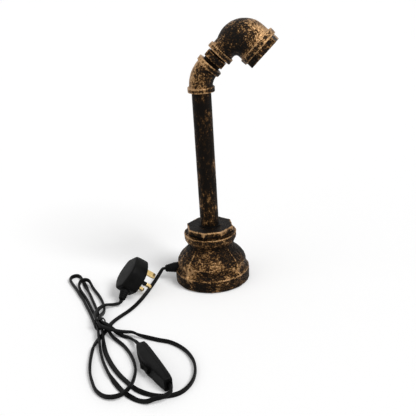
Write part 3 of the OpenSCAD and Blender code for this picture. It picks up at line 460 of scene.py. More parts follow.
def brushed(name, spread, wear_and_light, patch, stroke, stretch, grain_depth, **values):
    """Copper rubbed over black paint: bare copper on edges and high spots, black in the hollows."""
    made, shader = material(name, **values)
    tree = made.node_tree
    place = node(tree, "TexCoord").outputs["Object"]
    group = node(tree, "Group", node_tree=dry_brush)
    for socket, value in (("Spread", spread), ("Edge wear", wear_and_light), ("Patch scale", patch),
            ("Stroke scale", stroke), ("Stroke stretch", stretch)):
        group.inputs[socket].default_value = value
    # The stored wear attribute brings each piece's edge wear and rubbing, with its painted highlights, shade and
    # reflections, into the copper cover.
    edge = node(tree, "Attribute", attribute_name="wear_and_light").outputs["Fac"]
    tree.links.new(place, group.inputs["Place"])
    tree.links.new(edge, group.inputs["Edge"])
    for socket in ("Base Color", "Roughness", "Metallic"):
        tree.links.new(group.outputs[socket], shader.inputs[socket])
    roughened(tree, shader, group.outputs["Height"], 0.6, grain_depth)
    return made


dry_brush = bpy.data.node_groups.new("dry_brush", "ShaderNodeTree")
for side, kind, names in (
        ("INPUT", "Vector", ("Place",)),
        ("INPUT", "Float", ("Edge", "Spread", "Edge wear", "Patch scale", "Stroke scale")),
        ("INPUT", "Vector", ("Stroke stretch",)),
        ("OUTPUT", "Color", ("Base Color",)),
        ("OUTPUT", "Float", ("Roughness", "Metallic", "Height"))):
    for name in names:
        dry_brush.interface.new_socket(name, in_out=side, socket_type="NodeSocket" + kind)
given = dry_brush.nodes.new("NodeGroupInput").outputs


def sum_of(tree, first, second, weight):
    """The socket that gives first + second * weight."""
    return node(tree, "Math", second, weight, first, operation="MULTIPLY_ADD").outputs[0]


black_below, bare_above = 2.2, 2.95
patch = lumps(dry_brush, given["Place"], given["Patch scale"], 3, 0.55)
grain = lumps(dry_brush, given["Place"], 520, 5, 0.75)
drawn = node(dry_brush, "VectorMath", given["Place"], given["Stroke stretch"],
    operation="MULTIPLY").outputs[0]
stroke = lumps(dry_brush, drawn, given["Stroke scale"], 4, 0.65)
cover = sum_of(dry_brush, given["Spread"], patch, 1.5)
cover = sum_of(dry_brush, cover, grain, 1.8)
cover = sum_of(dry_brush, cover, stroke, 1.6)
# Edge carries the stored wear, which also holds the pieces' painted highlights, shade and reflections.
worn_and_lit = node(dry_brush, "Math", given["Edge"], given["Edge wear"], operation="MULTIPLY").outputs[0]
cover = sum_of(dry_brush, cover, worn_and_lit, 1)
cover = mapped(dry_brush, cover, black_below, bare_above, 0, 1, interpolation_type="SMOOTHSTEP")
paint = ramp(dry_brush, cover, (0, (0.0045, 0.0032, 0.0022)), (0.35, (0.018, 0.0095, 0.004)),
    (0.7, (0.1, 0.05, 0.018)), (0.9, (0.26, 0.14, 0.052)), (1, (0.42, 0.25, 0.12)))
given_out = dry_brush.nodes.new("NodeGroupOutput").inputs
dry_brush.links.new(paint, given_out["Base Color"])
for socket, low, high in (("Roughness", 0.52, 0.34), ("Metallic", 0, 0.75)):
    dry_brush.links.new(mapped(dry_brush, cover, 0, 1, low, high), given_out[socket])
height = sum_of(dry_brush, grain, stroke, 0.8)
dry_brush.links.new(sum_of(dry_brush, height, cover, 0.25), given_out["Height"])


def stepped(points, step):
    """The same outline with no stretch longer than step."""
    out = [points[0]]
    for a, b in zip(points, points[1:]):
        count = max(1, round(hypot(b[0] - a[0], b[1] - a[1]) / step))
        out += [tuple(p + (q - p) * k / count for p, q in zip(a, b)) for k in range(1, count + 1)]
    return out


def turned(points, sides, start=90):
    """A closed ring turned about Z from (radius, height) points, outside first and then the bore.
    start is the bearing of its first corner."""
    bm = bmesh.new()
    spin = Matrix.Translation((0, 0, points[0][1])) @ Matrix.Rotation(radians(start - 90), 4, "Z")
    bmesh.ops.create_circle(bm, segments=sides, radius=points[0][0], matrix=spin)
    first = loop = bm.edges[:]
    for r, z in points[1:]:
        loop = carry(bm, loop, lambda p: (p.xy.normalized() * r).to_3d() + Vector((0, 0, z)))
    bmesh.ops.bridge_loops(bm, edges=first + loop)
    bmesh.ops.recalc_face_normals(bm, faces=bm.faces[:])
    return bm


def soften(bm, width, sharp, segments=3):
    """Rounds every edge that turns by more than sharp degrees."""
    edges = [e for e in bm.edges if len(e.link_faces) == 2 and e.calc_face_angle(0) > radians(sharp)]
    bmesh.ops.bevel(bm, geom=edges, offset=width, offset_type="OFFSET", segments=segments,
        profile=0.5, affect="EDGES", clamp_overlap=True, material=-1)


def refined(bm, step):
    """Cuts every edge longer than step, again and again, until none is."""
    while long := [e for e in bm.edges if e.calc_length() > step]:
        bmesh.ops.subdivide_edges(bm, edges=long, cuts=1, use_grid_fill=True)


def cast(bm, *layers):
    """Gives a face the unevenness of a sand casting: (size, depth) of each layer of lumps."""
    bm.normal_update()
    moves = [(v, v.normal * sum(noise.noise(v.co / size) * depth for size, depth in layers))
        for v in bm.verts]
    for v, move in moves:
        v.co += move


def add_post(bm, corner_of, steps):
    """Adds a four-sided post, drawn 2 x 2 x 1 and put where corner_of says, corner by corner."""
    known = set(bm.verts)
    bmesh.ops.create_circle(bm, cap_ends=True, segments=4, radius=2 ** 0.5,
        matrix=Matrix.Rotation(radians(45), 4, "Z"))
    loop = [e for e in bm.edges if known.isdisjoint(e.verts)]
    for _ in range(steps):
        loop = carry(bm, loop, lambda p: p + Vector((0, 0, 1 / steps)))
    bmesh.ops.holes_fill(bm, edges=loop, sides=0)
    for v in set(bm.verts) - known:
        v.co = corner_of(v.co.copy())


def rib_rise(p):
    """How far a rib lifts the base at p: a thin seam down the shoulder that widens to a post
    between two struts."""
    if not rib_foot < p.z < rib_top:
        return 0
    turn = (atan2(p.y, p.x) - radians(rib_turn) + pi / 4) % (pi / 2) - pi / 4
    off = turn * p.xy.length
    low = min(1, max(0, (post_top - p.z) / post_fade))
    half = 0.7 + 1.9 * low
    post = (1.0 + 1.6 * low) * exp(-(off / half) ** 4)
    lean = abs(off) - 1.5 - max(0, p.z - 21.5) * 0.75
    strut = 1.7 * exp(-lean ** 2) * (p.z < strut_top) * (1 if off < 0 else 0.45)
    return max(post, strut) * min(1, (p.z - rib_foot) / 2) * min(1, (rib_top - p.z) / 6)


def base_rub_and_painted_light(p):
    """A painted highlight as more copper on the belly's front left, painted shade on the ring's far side, less copper
    in the waist and a little more on the bead.
    """
    side = cos(atan2(p.y, p.x) - radians(painted_highlight_bearing))
    belly = exp(-((p.z - 33) / 13) ** 2)
    waist = exp(-((p.z - 55) / 6) ** 2)
    shaded_ring = (p.z < ring_top) * (1 - side)
    return (0.34 * belly * (side - 0.35) - 0.5 * waist + 0.12 * (p.z > bead_foot)
        - 0.22 * shaded_ring - 0.12)


shoulder_r = belly_r - 1.4
shoulder = [(shoulder_r - (shoulder_r - waist_r) * (k / 8 - 0.05 * sin(tau * k / 8)),
    belly_z + (waist_z - belly_z) * k / 8) for k in range(9)]
ring = [(ring_r, 2), (ring_r, 18.4), (53.4, 19.8), (51.3, 22), (49.7, 24.5)]
belly = [(50.2, 27), (belly_r, 30.5), (50.2, 33)]
neck_and_bead = [(33.6, 58), (34.6, 61), (36.6, 64.4), (37.7, 66.2), (top_bead_r, bead_z),
    (top_bead_r, base_h)]
bore = [(throat_r, base_h), (throat_r, 52), (cavity_r, 33), (cavity_r, 2)]
bm = turned(stepped(ring + belly + shoulder + neck_and_bead + bore, 1.4), 240)
for v in bm.verts:
    if v.co.xy.length > throat_r + 2 and v.co.z > rib_foot:
        v.co += v.co.xy.normalized().to_3d() * rib_rise(v.co)
cast(bm, (9, 0.4), (3.4, 0.5), (1.7, 0.24))
base_finish = brushed("rubbed_cast_base", 0.02, 0.5, 38, 260, (1, 1, 2), 0.0016,
    Specular_IOR_Level=0.05)
set_piece(bm, "base_casting", "stand", "cast_copper", base_finish, ("base_reducer",), rub_and_light=base_rub_and_painted_light)

# Octagon bush. A 2 x 3/4 inch cast bush screwed into the base's mouth, its octagon standing
# just clear of the bead, its top dark and its corners rubbed bright.
pipe_r, bush_r, bush_z, bush_h, bush_turn = 13.45, 34.9, 75.6, 9.8, -17
bush_bore, bush_top = pipe_r + 0.1, bush_z + bush_h
bush_thread_r, bush_thread_foot, thread_lap = throat_r - 0.3, 60, 0.4


def bush_rub(p):
    """Dark on the flat top, bright on the upper part of the sides and dark below it."""
    if p.z > bush_top - 0.6:
        return -0.15
    return 0.3 if p.z > bush_z + 3.5 else -0.5


bm = turned([(bush_r, bush_z), (bush_r, bush_top), (bush_bore, bush_top), (bush_bore, bush_z)], 8,
    bush_turn)
soften(bm, 1, 20)
refined(bm, 1.8)
cast(bm, (5, 0.3), (2, 0.2))
bush_finish = brushed("rubbed_cast_bush", -0.22, 0.85, 60, 380, (1, 1, 0.6), 0.0014,
    Specular_IOR_Level=0.06)
set_piece(bm, "octagon_bush", "stand", "cast_copper", bush_finish, ("base_bush",), rub_and_light=bush_rub)
bm = turned([(bush_thread_r, bush_thread_foot), (bush_thread_r, bush_z + thread_lap),
    (bush_bore, bush_z + thread_lap), (bush_bore, bush_thread_foot)], 96)
thread_finish = brushed("dark_thread", -0.5, 0.3, 60, 500, (1, 1, 4), 0.001,
    Specular_IOR_Level=0.03)
set_piece(bm, "octagon_bush_thread", "stand", "cast_copper", thread_finish)

# Stem. A length of 3/4 inch steel pipe, painted black and stroked with copper round and round,
# so that the strokes lean across it.
pipe_foot, pipe_top, pipe_bore = 62, 297, 10.8
bm = turned(stepped([(pipe_r, pipe_foot), (pipe_r, pipe_top), (pipe_bore, pipe_top),
    (pipe_bore, pipe_foot)], 4), 72)
cast(bm, (14, 0.12), (3, 0.05))
stem_finish = brushed("stroked_pipe", -0.08, 0.3, 50, 150, (1.7, 1.7, 0.7), 0.0009,
    Specular_IOR_Level=0.05)
# The stem's rub holds a painted reflection: more copper on its left and right sides, where the camera sees it edge on,
# and less on its front and back.
set_piece(bm, "stem", "stand", "pipe_copper", stem_finish, ("stem_pipe",),
    rub_and_light=lambda p: 0.3 * (abs(p.x) / pipe_r) ** 2 - 0.22)

# 45 degree elbow. A 3/4 inch beaded malleable elbow that turns on the stem's thread. Its body
# is spun round the bend, and each end carries a bead that turns back into the bore.
corner_z, elbow_ce, elbow_r, bead_r, bead_w, bend = 304, 21.4, 16.4, 18.8, 7.2, 45
straight = elbow_ce - bead_w
bend_r = straight / tan(radians(bend / 2))


def round_end(bm, loop, centre, axis, steps):
    """Carries a round loop outward through (radius, reach) steps about its own axis."""
    def outward(p):
        return ((p - centre) - axis * (p - centre).dot(axis)).normalized()

    for r, reach in steps:
        middle = centre + axis * reach
        loop = carry(bm, loop, lambda p: middle + outward(p) * r)
    return loop


def bead_steps(body, bead, width, bore):
    """Outline of a beaded end: a small fillet, the bead with eased edges, then back into the bore."""
    return ([(body + 0.35, 0.1), (body + 0.9, 0.3), (bead - 0.4, 0.5), (bead, 0.9)]
        + [(bead, 0.9 + (width - 1.4) * k / 5) for k in range(1, 6)]
        + [(bead - 0.12, width - 0.2), (bead - 0.45, width), (bore + 0.6, width), (bore, width - 0.5),
        (bore, width - 3)])


bm = bmesh.new()
foot = Vector((0, 0, corner_z - straight))
bmesh.ops.create_circle(bm, segments=72, radius=elbow_r, matrix=Matrix.Translation(foot))
lower = bm.edges[:]
spun = bmesh.ops.spin(bm, geom=lower, cent=(bend_r, 0, foot.z), axis=(0, 1, 0),
    angle=radians(bend), steps=20, use_merge=False)["geom_last"]
upper = [e for e in spun if isinstance(e, bmesh.types.BMEdge)]
lean = Vector((sin(radians(bend)), 0, cos(radians(bend))))
knee = Vector((0, 0, corner_z))
thread_r, bore_gap = 13.2, 0.1
lower = round_end(bm, lower, foot, Vector((0, 0, -1)),
    bead_steps(elbow_r, bead_r, bead_w, pipe_r + bore_gap))
upper = round_end(bm, upper, knee + lean * straight, lean,
    bead_steps(elbow_r, bead_r, bead_w, thread_r + bore_gap))
bmesh.ops.bridge_loops(bm, edges=lower + upper)
cast(bm, (8, 0.28), (2.6, 0.16))
elbow_finish = brushed("rubbed_elbow", 0.14, 0.5, 42, 280, (1.3, 1.3, 1), 0.001,
    Specular_IOR_Level=0.06)
set_piece(bm, "angled_elbow", "arm", "cast_copper", elbow_finish, ("elbow_45",),
    rub_and_light=lambda p: 0.1 - 0.045 * (p.x - (p.z - corner_z) * 0.5))

# Hexagon nipple. It joins the two elbows: a dark hexagon between two short lengths of thread,
# all drawn along the axis that leaves the 45 degree elbow.
arm_place = Matrix.Translation(knee) @ Matrix.Rotation(radians(bend), 4, "Y")
nipple_bore, nipple_r, nipple_turn = 9.5, 17.3, 22
hex_from, hex_to, hex_bore, nipple_foot, nipple_end = 26, 35, 12.8, 8, 52
crest_gap, crest_depth = 0.9, 0.75
crests = [(thread_r - (crest_depth if k % 2 else 0), nipple_foot + crest_gap * k)
    for k in range(int((nipple_end - nipple_foot) / crest_gap))]
bm = turned(crests + [(thread_r, nipple_end), (nipple_bore, nipple_end),
    (nipple_bore, nipple_foot)], 64)
set_piece(bm, "nipple_thread", "arm", "cast_copper", thread_finish, place=arm_place)
bm = turned([(nipple_r, hex_from), (nipple_r, hex_to), (hex_bore, hex_to), (hex_bore, hex_from)],
    6, nipple_turn)
soften(bm, 0.5, 25)
refined(bm, 1.6)
cast(bm, (5, 0.25), (2, 0.14))
hexagon_finish = brushed("rubbed_hexagon", -0.12, 0.35, 60, 330, (1, 1, 1), 0.0014,
    Specular_IOR_Level=0.06)
set_piece(bm, "hex_nipple_body", "arm", "cast_copper", hexagon_finish, ("hex_nipple",), arm_place)

# 90 degree elbow. A 1-1/2 x 3/4 inch reducing elbow, the lamp's head, with a round heel, a small
# bead that turns on the nipple and a large one round its mouth. In its own frame the mouth looks
# up along Z and the small end along -X.
head_turn, knee_s = -10, 81
head_place = (arm_place @ Matrix.Rotation(radians(head_turn), 4, "Z")
    @ Matrix.Translation((0, 0, knee_s)) @ Matrix.Rotation(radians(-90), 4, "Y")
    @ Matrix.Rotation(radians(180), 4, "X"))
small_end, small_bead_r, small_bead_w = 43.5, 19.1, 8
mouth_end, mouth_bead_r, mouth_bead_w, mouth_thread_r = 36, 29, 9.3, 23.9
mouth_neck_r, mouth_bore_r = 26.3, 21.5
neck_r, heel_r, heel_drop, heel_lead, heel_turns = 16.4, 38, 19.5, 23.7, 26
heel_at, crotch_at = Vector((-12.8, heel_r - heel_drop)), Vector((-32, 21.5))
crotch_r = crotch_at.y - neck_r
small_at, mouth_foot = small_bead_w - small_end, mouth_end - mouth_bead_w


def arc(centre, radius, lead):
    """Points of an arc in the elbow's middle plane, from lead degrees before its foot to its side."""
    turns = [radians(-lead + (90 + lead) * k / heel_turns) for k in range(heel_turns + 1)]
    return [centre + radius * Vector((sin(a), -cos(a))) for a in turns]


heel_out = ([Vector((small_at, -neck_r))] + arc(heel_at, heel_r, heel_lead)
    + [Vector((heel_at.x + heel_r, mouth_foot))])
heel_in = ([Vector((small_at, neck_r))] + arc(crotch_at, crotch_r, 0)
    + [Vector((crotch_at.x + crotch_r, mouth_foot))])


def section(i):
    """Middle of the elbow's section i and its half width from the middle to the heel."""
    middle, half = (heel_out[i] + heel_in[i]) / 2, (heel_out[i] - heel_in[i]) / 2
    return Vector((middle.x, 0, middle.y)), Vector((half.x, 0, half.y))


def head_painted_highlight(p):
    """Most copper on the heel by the mouth, a painted highlight, and some on the crown and the small bead's outer
    side.
    """
    if p.x < small_at:
        return 0.1 - 0.025 * p.z
    crown = min(1, max(0, (p.x - p.z) / 42))
    return 0.58 * min(1, max(-0.16, (p.x - 3) / 18)) + 0.3 * crown - 0.05


bm = bmesh.new()
middle, half = section(0)
bmesh.ops.create_circle(bm, segments=96, radius=1)
for v in bm.verts:
    v.co = middle + half * v.co.x + Vector((0, half.length * v.co.y, 0))
first = loop = bm.edges[:]
for i in range(1, len(heel_out)):
    old, old_half = middle, half
    middle, half = section(i)
    loop = carry(bm, loop, lambda p: middle + half * ((p - old).dot(old_half) / old_half.length_squared)
        + Vector((0, p.y * half.length / old_half.length, 0)))
small = round_end(bm, first, Vector((small_at, 0, 0)), Vector((-1, 0, 0)),
    bead_steps(neck_r, small_bead_r, small_bead_w, thread_r + bore_gap))
mouth_at = Vector((0, 0, mouth_foot))
mouth = carry(bm, loop, lambda p: mouth_at + (p.xy.normalized() * mouth_neck_r).to_3d())
mouth = round_end(bm, mouth, mouth_at, Vector((0, 0, 1)),
    bead_steps(mouth_neck_r, mouth_bead_r, mouth_bead_w, mouth_thread_r)
    + [(mouth_thread_r - 1, -6), (mouth_bore_r, -12)])
bmesh.ops.bridge_loops(bm, edges=small + mouth)
cast(bm, (11, 0.4), (3.4, 0.2), (1.6, 0.1))
head_finish = brushed("rubbed_head", 0, 0.6, 36, 260, (1, 1, 1), 0.001, Specular_IOR_Level=0.08)
set_piece(bm, "head_elbow", "head", "cast_copper", head_finish, ("elbow_90",), head_place,
    rub_and_light=head_painted_highlight)

# Mouth bush. A hexagon bush screwed into the mouth, which holds the lampholder. It is dark but for the flat that faces
# the camera, which carries a painted reflection in bare copper.
mouth_hex_r, mouth_hex_h, holder_r, mouth_turn = 27.37, 9, 19.8, 40
rim_w, holder_bore = mouth_end + mouth_hex_h, holder_r + 0.1
mouth_fit_r, mouth_fit_foot = mouth_thread_r - 0.2, 22


def mouth_painted_reflection(p):
    """A painted reflection: bare copper on one flat, short of its edges, and little elsewhere."""
    return 1.4 if p.x > 19.5 and p.y < 0 and mouth_end + 1 < p.z < rim_w - 0.6 else -0.15


bm = turned([(mouth_hex_r, mouth_end), (mouth_hex_r, rim_w), (holder_bore, rim_w),
    (holder_bore, mouth_end)], 6, mouth_turn)
soften(bm, 0.5, 25)
refined(bm, 1.8)
cast(bm, (6, 0.25), (2, 0.14))
set_piece(bm, "mouth_hexagon", "head", "cast_copper", hexagon_finish, ("mouth_bush",),
    head_place, rub_and_light=mouth_painted_reflection)
bm = turned([(mouth_fit_r, mouth_fit_foot), (mouth_fit_r, mouth_end + thread_lap),
    (holder_bore, mouth_end + thread_lap), (holder_bore, mouth_fit_foot)], 96)
set_piece(bm, "mouth_thread", "head", "cast_copper", thread_finish, place=head_place)

# Strain relief. A ribbed rubber sleeve at the foot of the base, tapered toward the flex, which
# leaves it a little below the level.
grip_place = Matrix.Translation((-47.5, 0, 20.5)) @ Matrix.Rotation(radians(-94.5), 4, "Y")
grip_l, grip_r, grip_tip, grip_shank, grip_inner = 22.9, 7.5, 5, 6, -6
ribs_from, rib_gap = 9, 2.6
ribs = []
for k in range(5):
    z = ribs_from + k * rib_gap
    r = grip_r - (grip_r - grip_tip) * (z - ribs_from) / (grip_l - ribs_from)
    ribs += [(r, z), (r, z + 1.5), (r - 0.7, z + 1.7), (r - 0.9, z + 2.4)]
bm = turned([(grip_shank, grip_inner), (grip_shank, 0), (grip_r, 0.2), (grip_r, 8)] + ribs
    + [(grip_tip, grip_l - 0.6), (grip_tip - 0.6, grip_l), (1, grip_l), (1, grip_inner)], 48)
soften(bm, 0.2, 35, 2)
rubber = moulded("black_rubber", (0.0025, 0.0025, 0.0025), (0.007, 0.007, 0.0068), 0.5, 700,
    0.0004)
grip = set_piece(bm, "strain_relief", "stand", "black_plastic", rubber, ("cord_grip",), grip_place)

# Plug. A moulded 13 A plug lying on its back edge: full rounded body, sleeve for the flex, brass
# pins, the live and neutral ones sleeved, and a fuse carrier in its face.
plug_place = (Matrix.Translation((-110, -44.3, 19.8)) @ Matrix.Rotation(radians(131), 4, "Z")
    @ Matrix.Rotation(radians(31), 4, "Y") @ Matrix.Rotation(radians(138), 4, "X"))
cap_y, plug_deep, plug_slope, mid_y = -19, 24.6, 0.085, 6
back_rise = 0.35
carrier_l, carrier_w, carrier_y, carrier_d = 28.4, 9.2, 9, 10.2
# Half of the outline as (along, across); the layers as (share of the depth, share of the size).
plug_side = [(cap_y, 6), (cap_y, 9.5), (-17, 13), (-13, 16.8), (-7, 21), (0, 25), (6, 25.5), (12, 25),
    (18, 22.5), (25, 18.5), (30, 14.5), (32, 12), (32, 7)]
plug_layers = [(0, 0.955), (0.02, 0.975), (0.06, 0.995), (0.12, 1), (0.3, 1), (0.5, 1), (0.7, 0.995),
    (0.84, 0.985), (0.92, 0.965), (0.97, 0.93), (1, 0.87)]
plug_black = moulded("black_moulding", (0.002, 0.002, 0.0019), (0.006, 0.006, 0.0056), 0.5, 420,
    0.0005)


def closed_line(bm, corners, cuts):
    """Draws a closed line through (x, y) corners, cuts each of its sides and returns its edges."""
    ends = [bm.verts.new((x, y, 0)) for x, y in corners]
    sides = [bm.edges.new(pair) for pair in zip(ends, ends[1:] + ends[:1])]
    cut = bmesh.ops.subdivide_edges(bm, edges=sides, cuts=cuts)["geom_split"]
    return [e for e in cut if isinstance(e, bmesh.types.BMEdge)]


def layer_place(layer, old):
    """Moves a corner of the plug's outline from one layer of its depth to another."""
    def place(p):
        x = p.x * layer[1] / old[1]
        y = mid_y + (p.y - mid_y) * layer[1] / old[1]
        return Vector((x, y, -layer[0] * (plug_deep - (y - cap_y) * plug_slope)))
    return place


bm = bmesh.new()
closed_line(bm, [(x, y) for y, x in plug_side] + [(-x, y) for y, x in reversed(plug_side)], 3)
for _ in range(3):
    bmesh.ops.smooth_vert(bm, verts=bm.verts[:], factor=0.5, use_axis_x=True, use_axis_y=True)
for v in bm.verts:
    v.co = layer_place(plug_layers[0], (0, 1))(v.co)
face_loop = loop = bm.edges[:]
for old, layer in zip(plug_layers, plug_layers[1:]):
    loop = carry(bm, loop, layer_place(layer, old))
for k in (0.75, 0.5, 0.25):
    centre = sum((e.verts[0].co for e in loop), Vector()) / len(loop)
    share = k / (k + 0.25)
    loop = carry(bm, loop, lambda p: centre + (p - centre) * share - Vector((0, 0, back_rise * k)))
bmesh.ops.holes_fill(bm, edges=loop, sides=0)
well_loop = closed_line(bm, [(sx * carrier_l / 2, carrier_y + sy * carrier_w / 2) for sx, sy in
    ((1, -1), (1, 1), (-1, 1), (-1, -1))], 9)
bmesh.ops.bridge_loops(bm, edges=face_loop + well_loop)
floor_loop = carry(bm, well_loop, lambda p: p - Vector((0, 0, carrier_d)))
bmesh.ops.holes_fill(bm, edges=floor_loop, sides=0)
plug = set_piece(bm, "plug_moulding", "stand", "black_plastic", plug_black, ("plug_body",),
    plug_place)

exit_w, sleeve_r, sleeve_tip, sleeve_l, sleeve_inner = -13, 6.8, 4.6, 14, -5
ribs_from, rib_gap = 2.5, 2.8
sleeve_place = (plug_place @ Matrix.Translation((0, cap_y, exit_w))
    @ Matrix.Rotation(radians(90), 4, "X"))
ribs = []
for k in range(4):
    z = ribs_from + k * rib_gap
    r = sleeve_r - (sleeve_r - sleeve_tip) * z / sleeve_l
    ribs += [(r, z), (r - 0.1, z + 1.6), (r - 0.8, z + 1.9), (r - 0.9, z + 2.5)]
bm = turned([(sleeve_r, sleeve_inner), (sleeve_r, 2)] + ribs + [(sleeve_tip, sleeve_l - 0.5),
    (sleeve_tip - 0.5, sleeve_l), (1, sleeve_l), (1, sleeve_inner)], 48)
soften(bm, 0.2, 35, 2)
plug_sleeve = set_piece(bm, "plug_cord_sleeve", "stand", "black_plastic", rubber, ("plug_sleeve",),
    sleeve_place)


def metal(name, dark, light, rough):
    """Plain metal with faint handling marks."""
    made, shader = material(name, Metallic=1)
    tree = made.node_tree
    place = node(tree, "TexCoord").outputs["Object"]
    cloud = lumps(tree, place, 160, 4)
    drawn = node(tree, "VectorMath", place, (1, 1, 14), operation="MULTIPLY").outputs[0]
    tree.links.new(ramp(tree, cloud, (0.3, dark), (0.7, light)), shader.inputs["Base Color"])
    sheen = mapped(tree, lumps(tree, drawn, 220), 0.3, 0.7, rough - 0.07, rough + 0.1)
    tree.links.new(sheen, shader.inputs["Roughness"])
    return made


brass = metal("brass", (0.55, 0.39, 0.16), (0.72, 0.55, 0.27), 0.3)
pin_half, earth_y, pin_root = 11.1, 22.2, -6
pin_tip, tip_share = 0.95, 0.8
plug_pieces = [plug, plug_sleeve]
# Each blade: its place, width, thickness and length, and the neck that its black sleeve fills.
for name, old, x, y, w, t, top, neck, slim in (
        ("earth_blade", "earth_pin", 0, earth_y, 4, 8, 22.7, 0, 0),
        ("live_blade", "live_pin", pin_half, 0, 6.35, 4, 17.7, 9, 0.8),
        ("neutral_blade", "neutral_pin", -pin_half, 0, 6.35, 4, 17.7, 9, 0.8)):
    bm = bmesh.new()
    for low, high, trim in ((pin_root, neck, slim), (neck, top, 0)):
        def corner(p):
            share = tip_share if p.z > pin_tip and not trim else 1
            return Vector((x + p.x * (w - trim) / 2 * share, y + p.y * (t - trim) / 2 * share,
                low + (high - low) * p.z))

        add_post(bm, corner, 10)
    soften(bm, 0.35, 40, 2)
    plug_pieces.append(set_piece(bm, name, "stand", "brass", brass, (old,), plug_place))

# In-line switch. Two moulded shells screwed together along a seam, lying on their side, with a
# rocker that stands out of the one that faces the lamp's left.
switch_place = Matrix.Translation((-76, -242.5, 0)) @ Matrix.Rotation(radians(-66), 4, "Z")
switch_b, pivot_y, seam_gap, side_fullness, edge_fullness = 20, -8, 0.15, 0.24, 0.3
slot_l, slot_deep, slot_b = 19.2, 14, 7.4
rocker_b, rocker_lean = 7, 8
rocker_side = [(-45, -6.2), (-44.2, -7), (-38, -8.6), (-24, -11), (-12, -12), (3, -12), (12, -9.8),
    (24, -8.6), (38, -6.6), (44.2, -5.6), (45, -4.8)]
screw_side = [(-45, 4.4), (-44.2, 5), (-38, 5.6), (-26, 5.8), (4, 5.8), (22, 5.5), (38, 5.3),
    (44.2, 4.8), (45, 4.1)]
trim_side = [(-45, 2.4), (-44.2, 1.6), (-36, 0.6), (-22, 0.1), (22, 0.1), (36, 0.6), (44.2, 1.6),
    (45, 2.4)]


def reading(table, x):
    """Straight reading of a table of (place, value) pairs."""
    for (x0, y0), (x1, y1) in zip(table, table[1:]):
        if x0 <= x <= x1:
            return y0 + (y1 - y0) * (x - x0) / (x1 - x0)
    return table[-1][1]


def shell_mesh(table, seam):
    """Half of the switch, from its seam out to the side that the table gives."""
    ends = {-45, -44.6, -44.2, 44.2, 44.6, 45}
    stations = sorted(ends | {k * 2.2 for k in range(-20, 21)})

    def at(x, out, up):
        edge = reading(trim_side, x)
        depth = seam + (reading(table, x) - seam) * out
        return Vector((x, depth, edge + (switch_b - 2 * edge) * (up + 1) / 2))

    def key(point):
        return tuple(round(c, 3) for c in point)

    bm = bmesh.new()
    bmesh.ops.create_circle(bm, segments=64, radius=1)
    spots = []
    for v in bm.verts:
        if v.co.x > 0.01:
            spots.append((min(1, v.co.x ** side_fullness), squared(v.co.y, edge_fullness)))
        else:
            spots.append((0, max(-1, min(1, v.co.y))))
        v.co = at(stations[0], *spots[-1])
    loop = bm.edges[:]
    for old, x in zip(stations, stations[1:]):
        spot_at = {key(at(old, *spot)): spot for spot in spots}
        loop = carry(bm, loop, lambda p: at(x, *spot_at[key(p)]))
    bmesh.ops.holes_fill(bm, edges=bm.edges[:], sides=0)
    return bm


def carved(piece, middle, size, place):
    """Cuts a box out of a finished piece."""
    bm = bmesh.new()
    bmesh.ops.create_cube(bm, size=1)
    bm.transform(Matrix.Scale(mm, 4) @ place @ Matrix.Translation(middle)
        @ Matrix.Diagonal((*size, 1)))
    mesh = bpy.data.meshes.new("cutter")
    bm.to_mesh(mesh)
    bm.free()
    cutter = bpy.data.objects.new("cutter", mesh)
    bpy.context.scene.collection.objects.link(cutter)
    cut = piece.modifiers.new("cut", "BOOLEAN")
    cut.object, cut.solver = cutter, "EXACT"
    piece.modifiers.move(len(piece.modifiers) - 1, 0)
    bpy.context.view_layer.update()
    depsgraph = bpy.context.evaluated_depsgraph_get()
    solid = bpy.data.meshes.new_from_object(piece.evaluated_get(depsgraph))
    piece.modifiers.clear()
    piece.data = solid
    bpy.data.objects.remove(cutter)


switch_black = moulded("black_switch", (0.0025, 0.0025, 0.0025), (0.007, 0.007, 0.0068), 0.48, 500,
    0.0004)
rocker_shell = set_piece(shell_mesh(rocker_side, -seam_gap), "switch_rocker_shell", "stand",
    "black_plastic", switch_black, ("switch_top_shell",), switch_place)
carved(rocker_shell, (0, -9, switch_b / 2), (slot_l, slot_deep, slot_b), switch_place)
screw_shell = set_piece(shell_mesh(screw_side, seam_gap), "switch_screw_shell", "stand",
    "black_plastic", switch_black, ("switch_bottom_shell",), switch_place)

bm = bmesh.new()
profile = [(-8.5, -6.9), (-6, -6.5), (-2, -5.7), (0, -5.6), (2, -5.7), (6, -6.5), (8.5, -6.9), (8, -1),
    (3, 3), (-3, 3), (-8, -1)]
verts = [bm.verts.new((x, y, 0)) for x, y in profile]
face = bm.faces.new(verts)
raised = bmesh.ops.extrude_face_region(bm, geom=[face])["geom"]
raised = [v for v in raised if isinstance(v, bmesh.types.BMVert)]
bmesh.ops.translate(bm, verts=raised, vec=(0, 0, rocker_b))
bmesh.ops.recalc_face_normals(bm, faces=bm.faces[:])
soften(bm, 0.5, 25, 3)
rocker_place = (switch_place @ Matrix.Translation((0, pivot_y, switch_b / 2 - rocker_b / 2))
    @ Matrix.Rotation(radians(rocker_lean), 4, "Z"))
rocker = set_piece(bm, "rocker", "rocker", "black_plastic", plug_black, ("switch_rocker",),
    rocker_place)

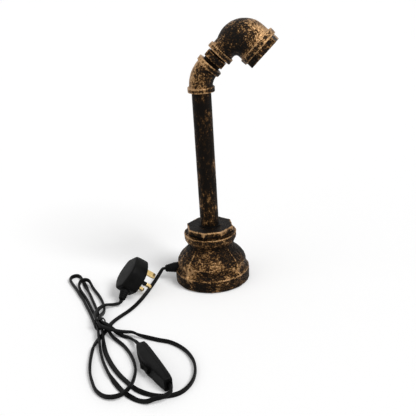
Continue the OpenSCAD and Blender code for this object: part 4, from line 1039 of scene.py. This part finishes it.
# Tie. A black band round the hank's waist, with a shallow groove along its middle. It is turned
# as a round band and then pressed to the hank's squarish section.
tie_place = Matrix.Translation((-154.3, -134.1, 0)) @ Matrix.Rotation(radians(-65), 4, "Z")
tie_half, tie_low, tie_high, tie_fullness, band_r = 6.9, 1.4, 15.2, 0.55, 8
tie_mid, tie_rise = (tie_low + tie_high) / 2, (tie_high - tie_low) / 2
band = [(0.1, -2.7), (0.7, -2.7), (1, -2.2), (1, -1), (0.8, -0.6), (0.8, 0.6), (1, 1), (1, 2.2),
    (0.7, 2.7), (0.1, 2.7)]
bm = turned([(band_r + out, z) for out, z in band], 72)
for v in bm.verts:
    out = v.co.xy.length - band_r
    flat = v.co.xy.normalized()
    v.co = Vector((v.co.z, (tie_half + out) * squared(flat.x, tie_fullness),
        tie_mid + (tie_rise + out) * squared(flat.y, tie_fullness)))
tie = set_piece(bm, "hank_tie", "stand", "black_plastic", rubber, ("cable_tie",), tie_place)

# Fittings that the frame already shapes: foot, plate, seal, terminal block, lampholder, screws,
# contacts and the flex inside the pipework. Each takes the finish of its kind.
foam = moulded("foam_foot", (0.01, 0.01, 0.01), (0.02, 0.02, 0.02), 0.9, 1500, 0.0005)
steel = metal("plain_steel", (0.38, 0.38, 0.39), (0.55, 0.55, 0.56), 0.35)
ceramic = moulded("white_moulding", (0.66, 0.64, 0.58), (0.76, 0.74, 0.69), 0.3, 300, 0.0002)
finishes = {
    "foot_pad": foam, "base_plate": steel, "pipe_seal": rubber, "grip_nut": plug_black,
    "terminal_block": ceramic, "terminal_screws": brass, "nipple_grommet": rubber,
    "lampholder_body": ceramic, "lampholder_shell": brass, "lampholder_ring": plug_black,
    "centre_contact": brass, "side_contact": brass, "lampholder_cap": ceramic, "holder_screws": brass,
    "switch_sleeves": rubber, "switch_screws": steel, "switch_contacts": brass,
    "pin_sleeves": plug_black, "fuse_carrier": plug_black, "fuse_link": steel}
for name in ("base_flex", "stem_flex", "elbow_flex", "nipple_flex", "head_flex"):
    finishes[name] = flex_finish
for name, finish in finishes.items():
    fitting = frame["nodes"][name]
    fitting.data.materials.clear()
    fitting.data.materials.append(finish)

switch_pieces = [rocker_shell, screw_shell, rocker]
switch_pieces += [frame["nodes"][n] for n in ("switch_sleeves", "switch_screws")]
plug_pieces += [frame["nodes"][n] for n in ("pin_sleeves", "fuse_carrier")]
for (flex, path, length, end), pieces in zip(flexes, (switch_pieces + [tie, grip], plug_pieces)):
    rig.cord(flex, exit=path[0], length=length, diameter=flex_w * mm, far_end=end, stiffness="medium",
        lay="coiled", path=path, with_pieces=pieces)

with open("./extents.json", "w") as out:
    for low, high in (cad_box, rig.bounds()):
        print([round(v, 5) for v in (*low, *high)], file=out)
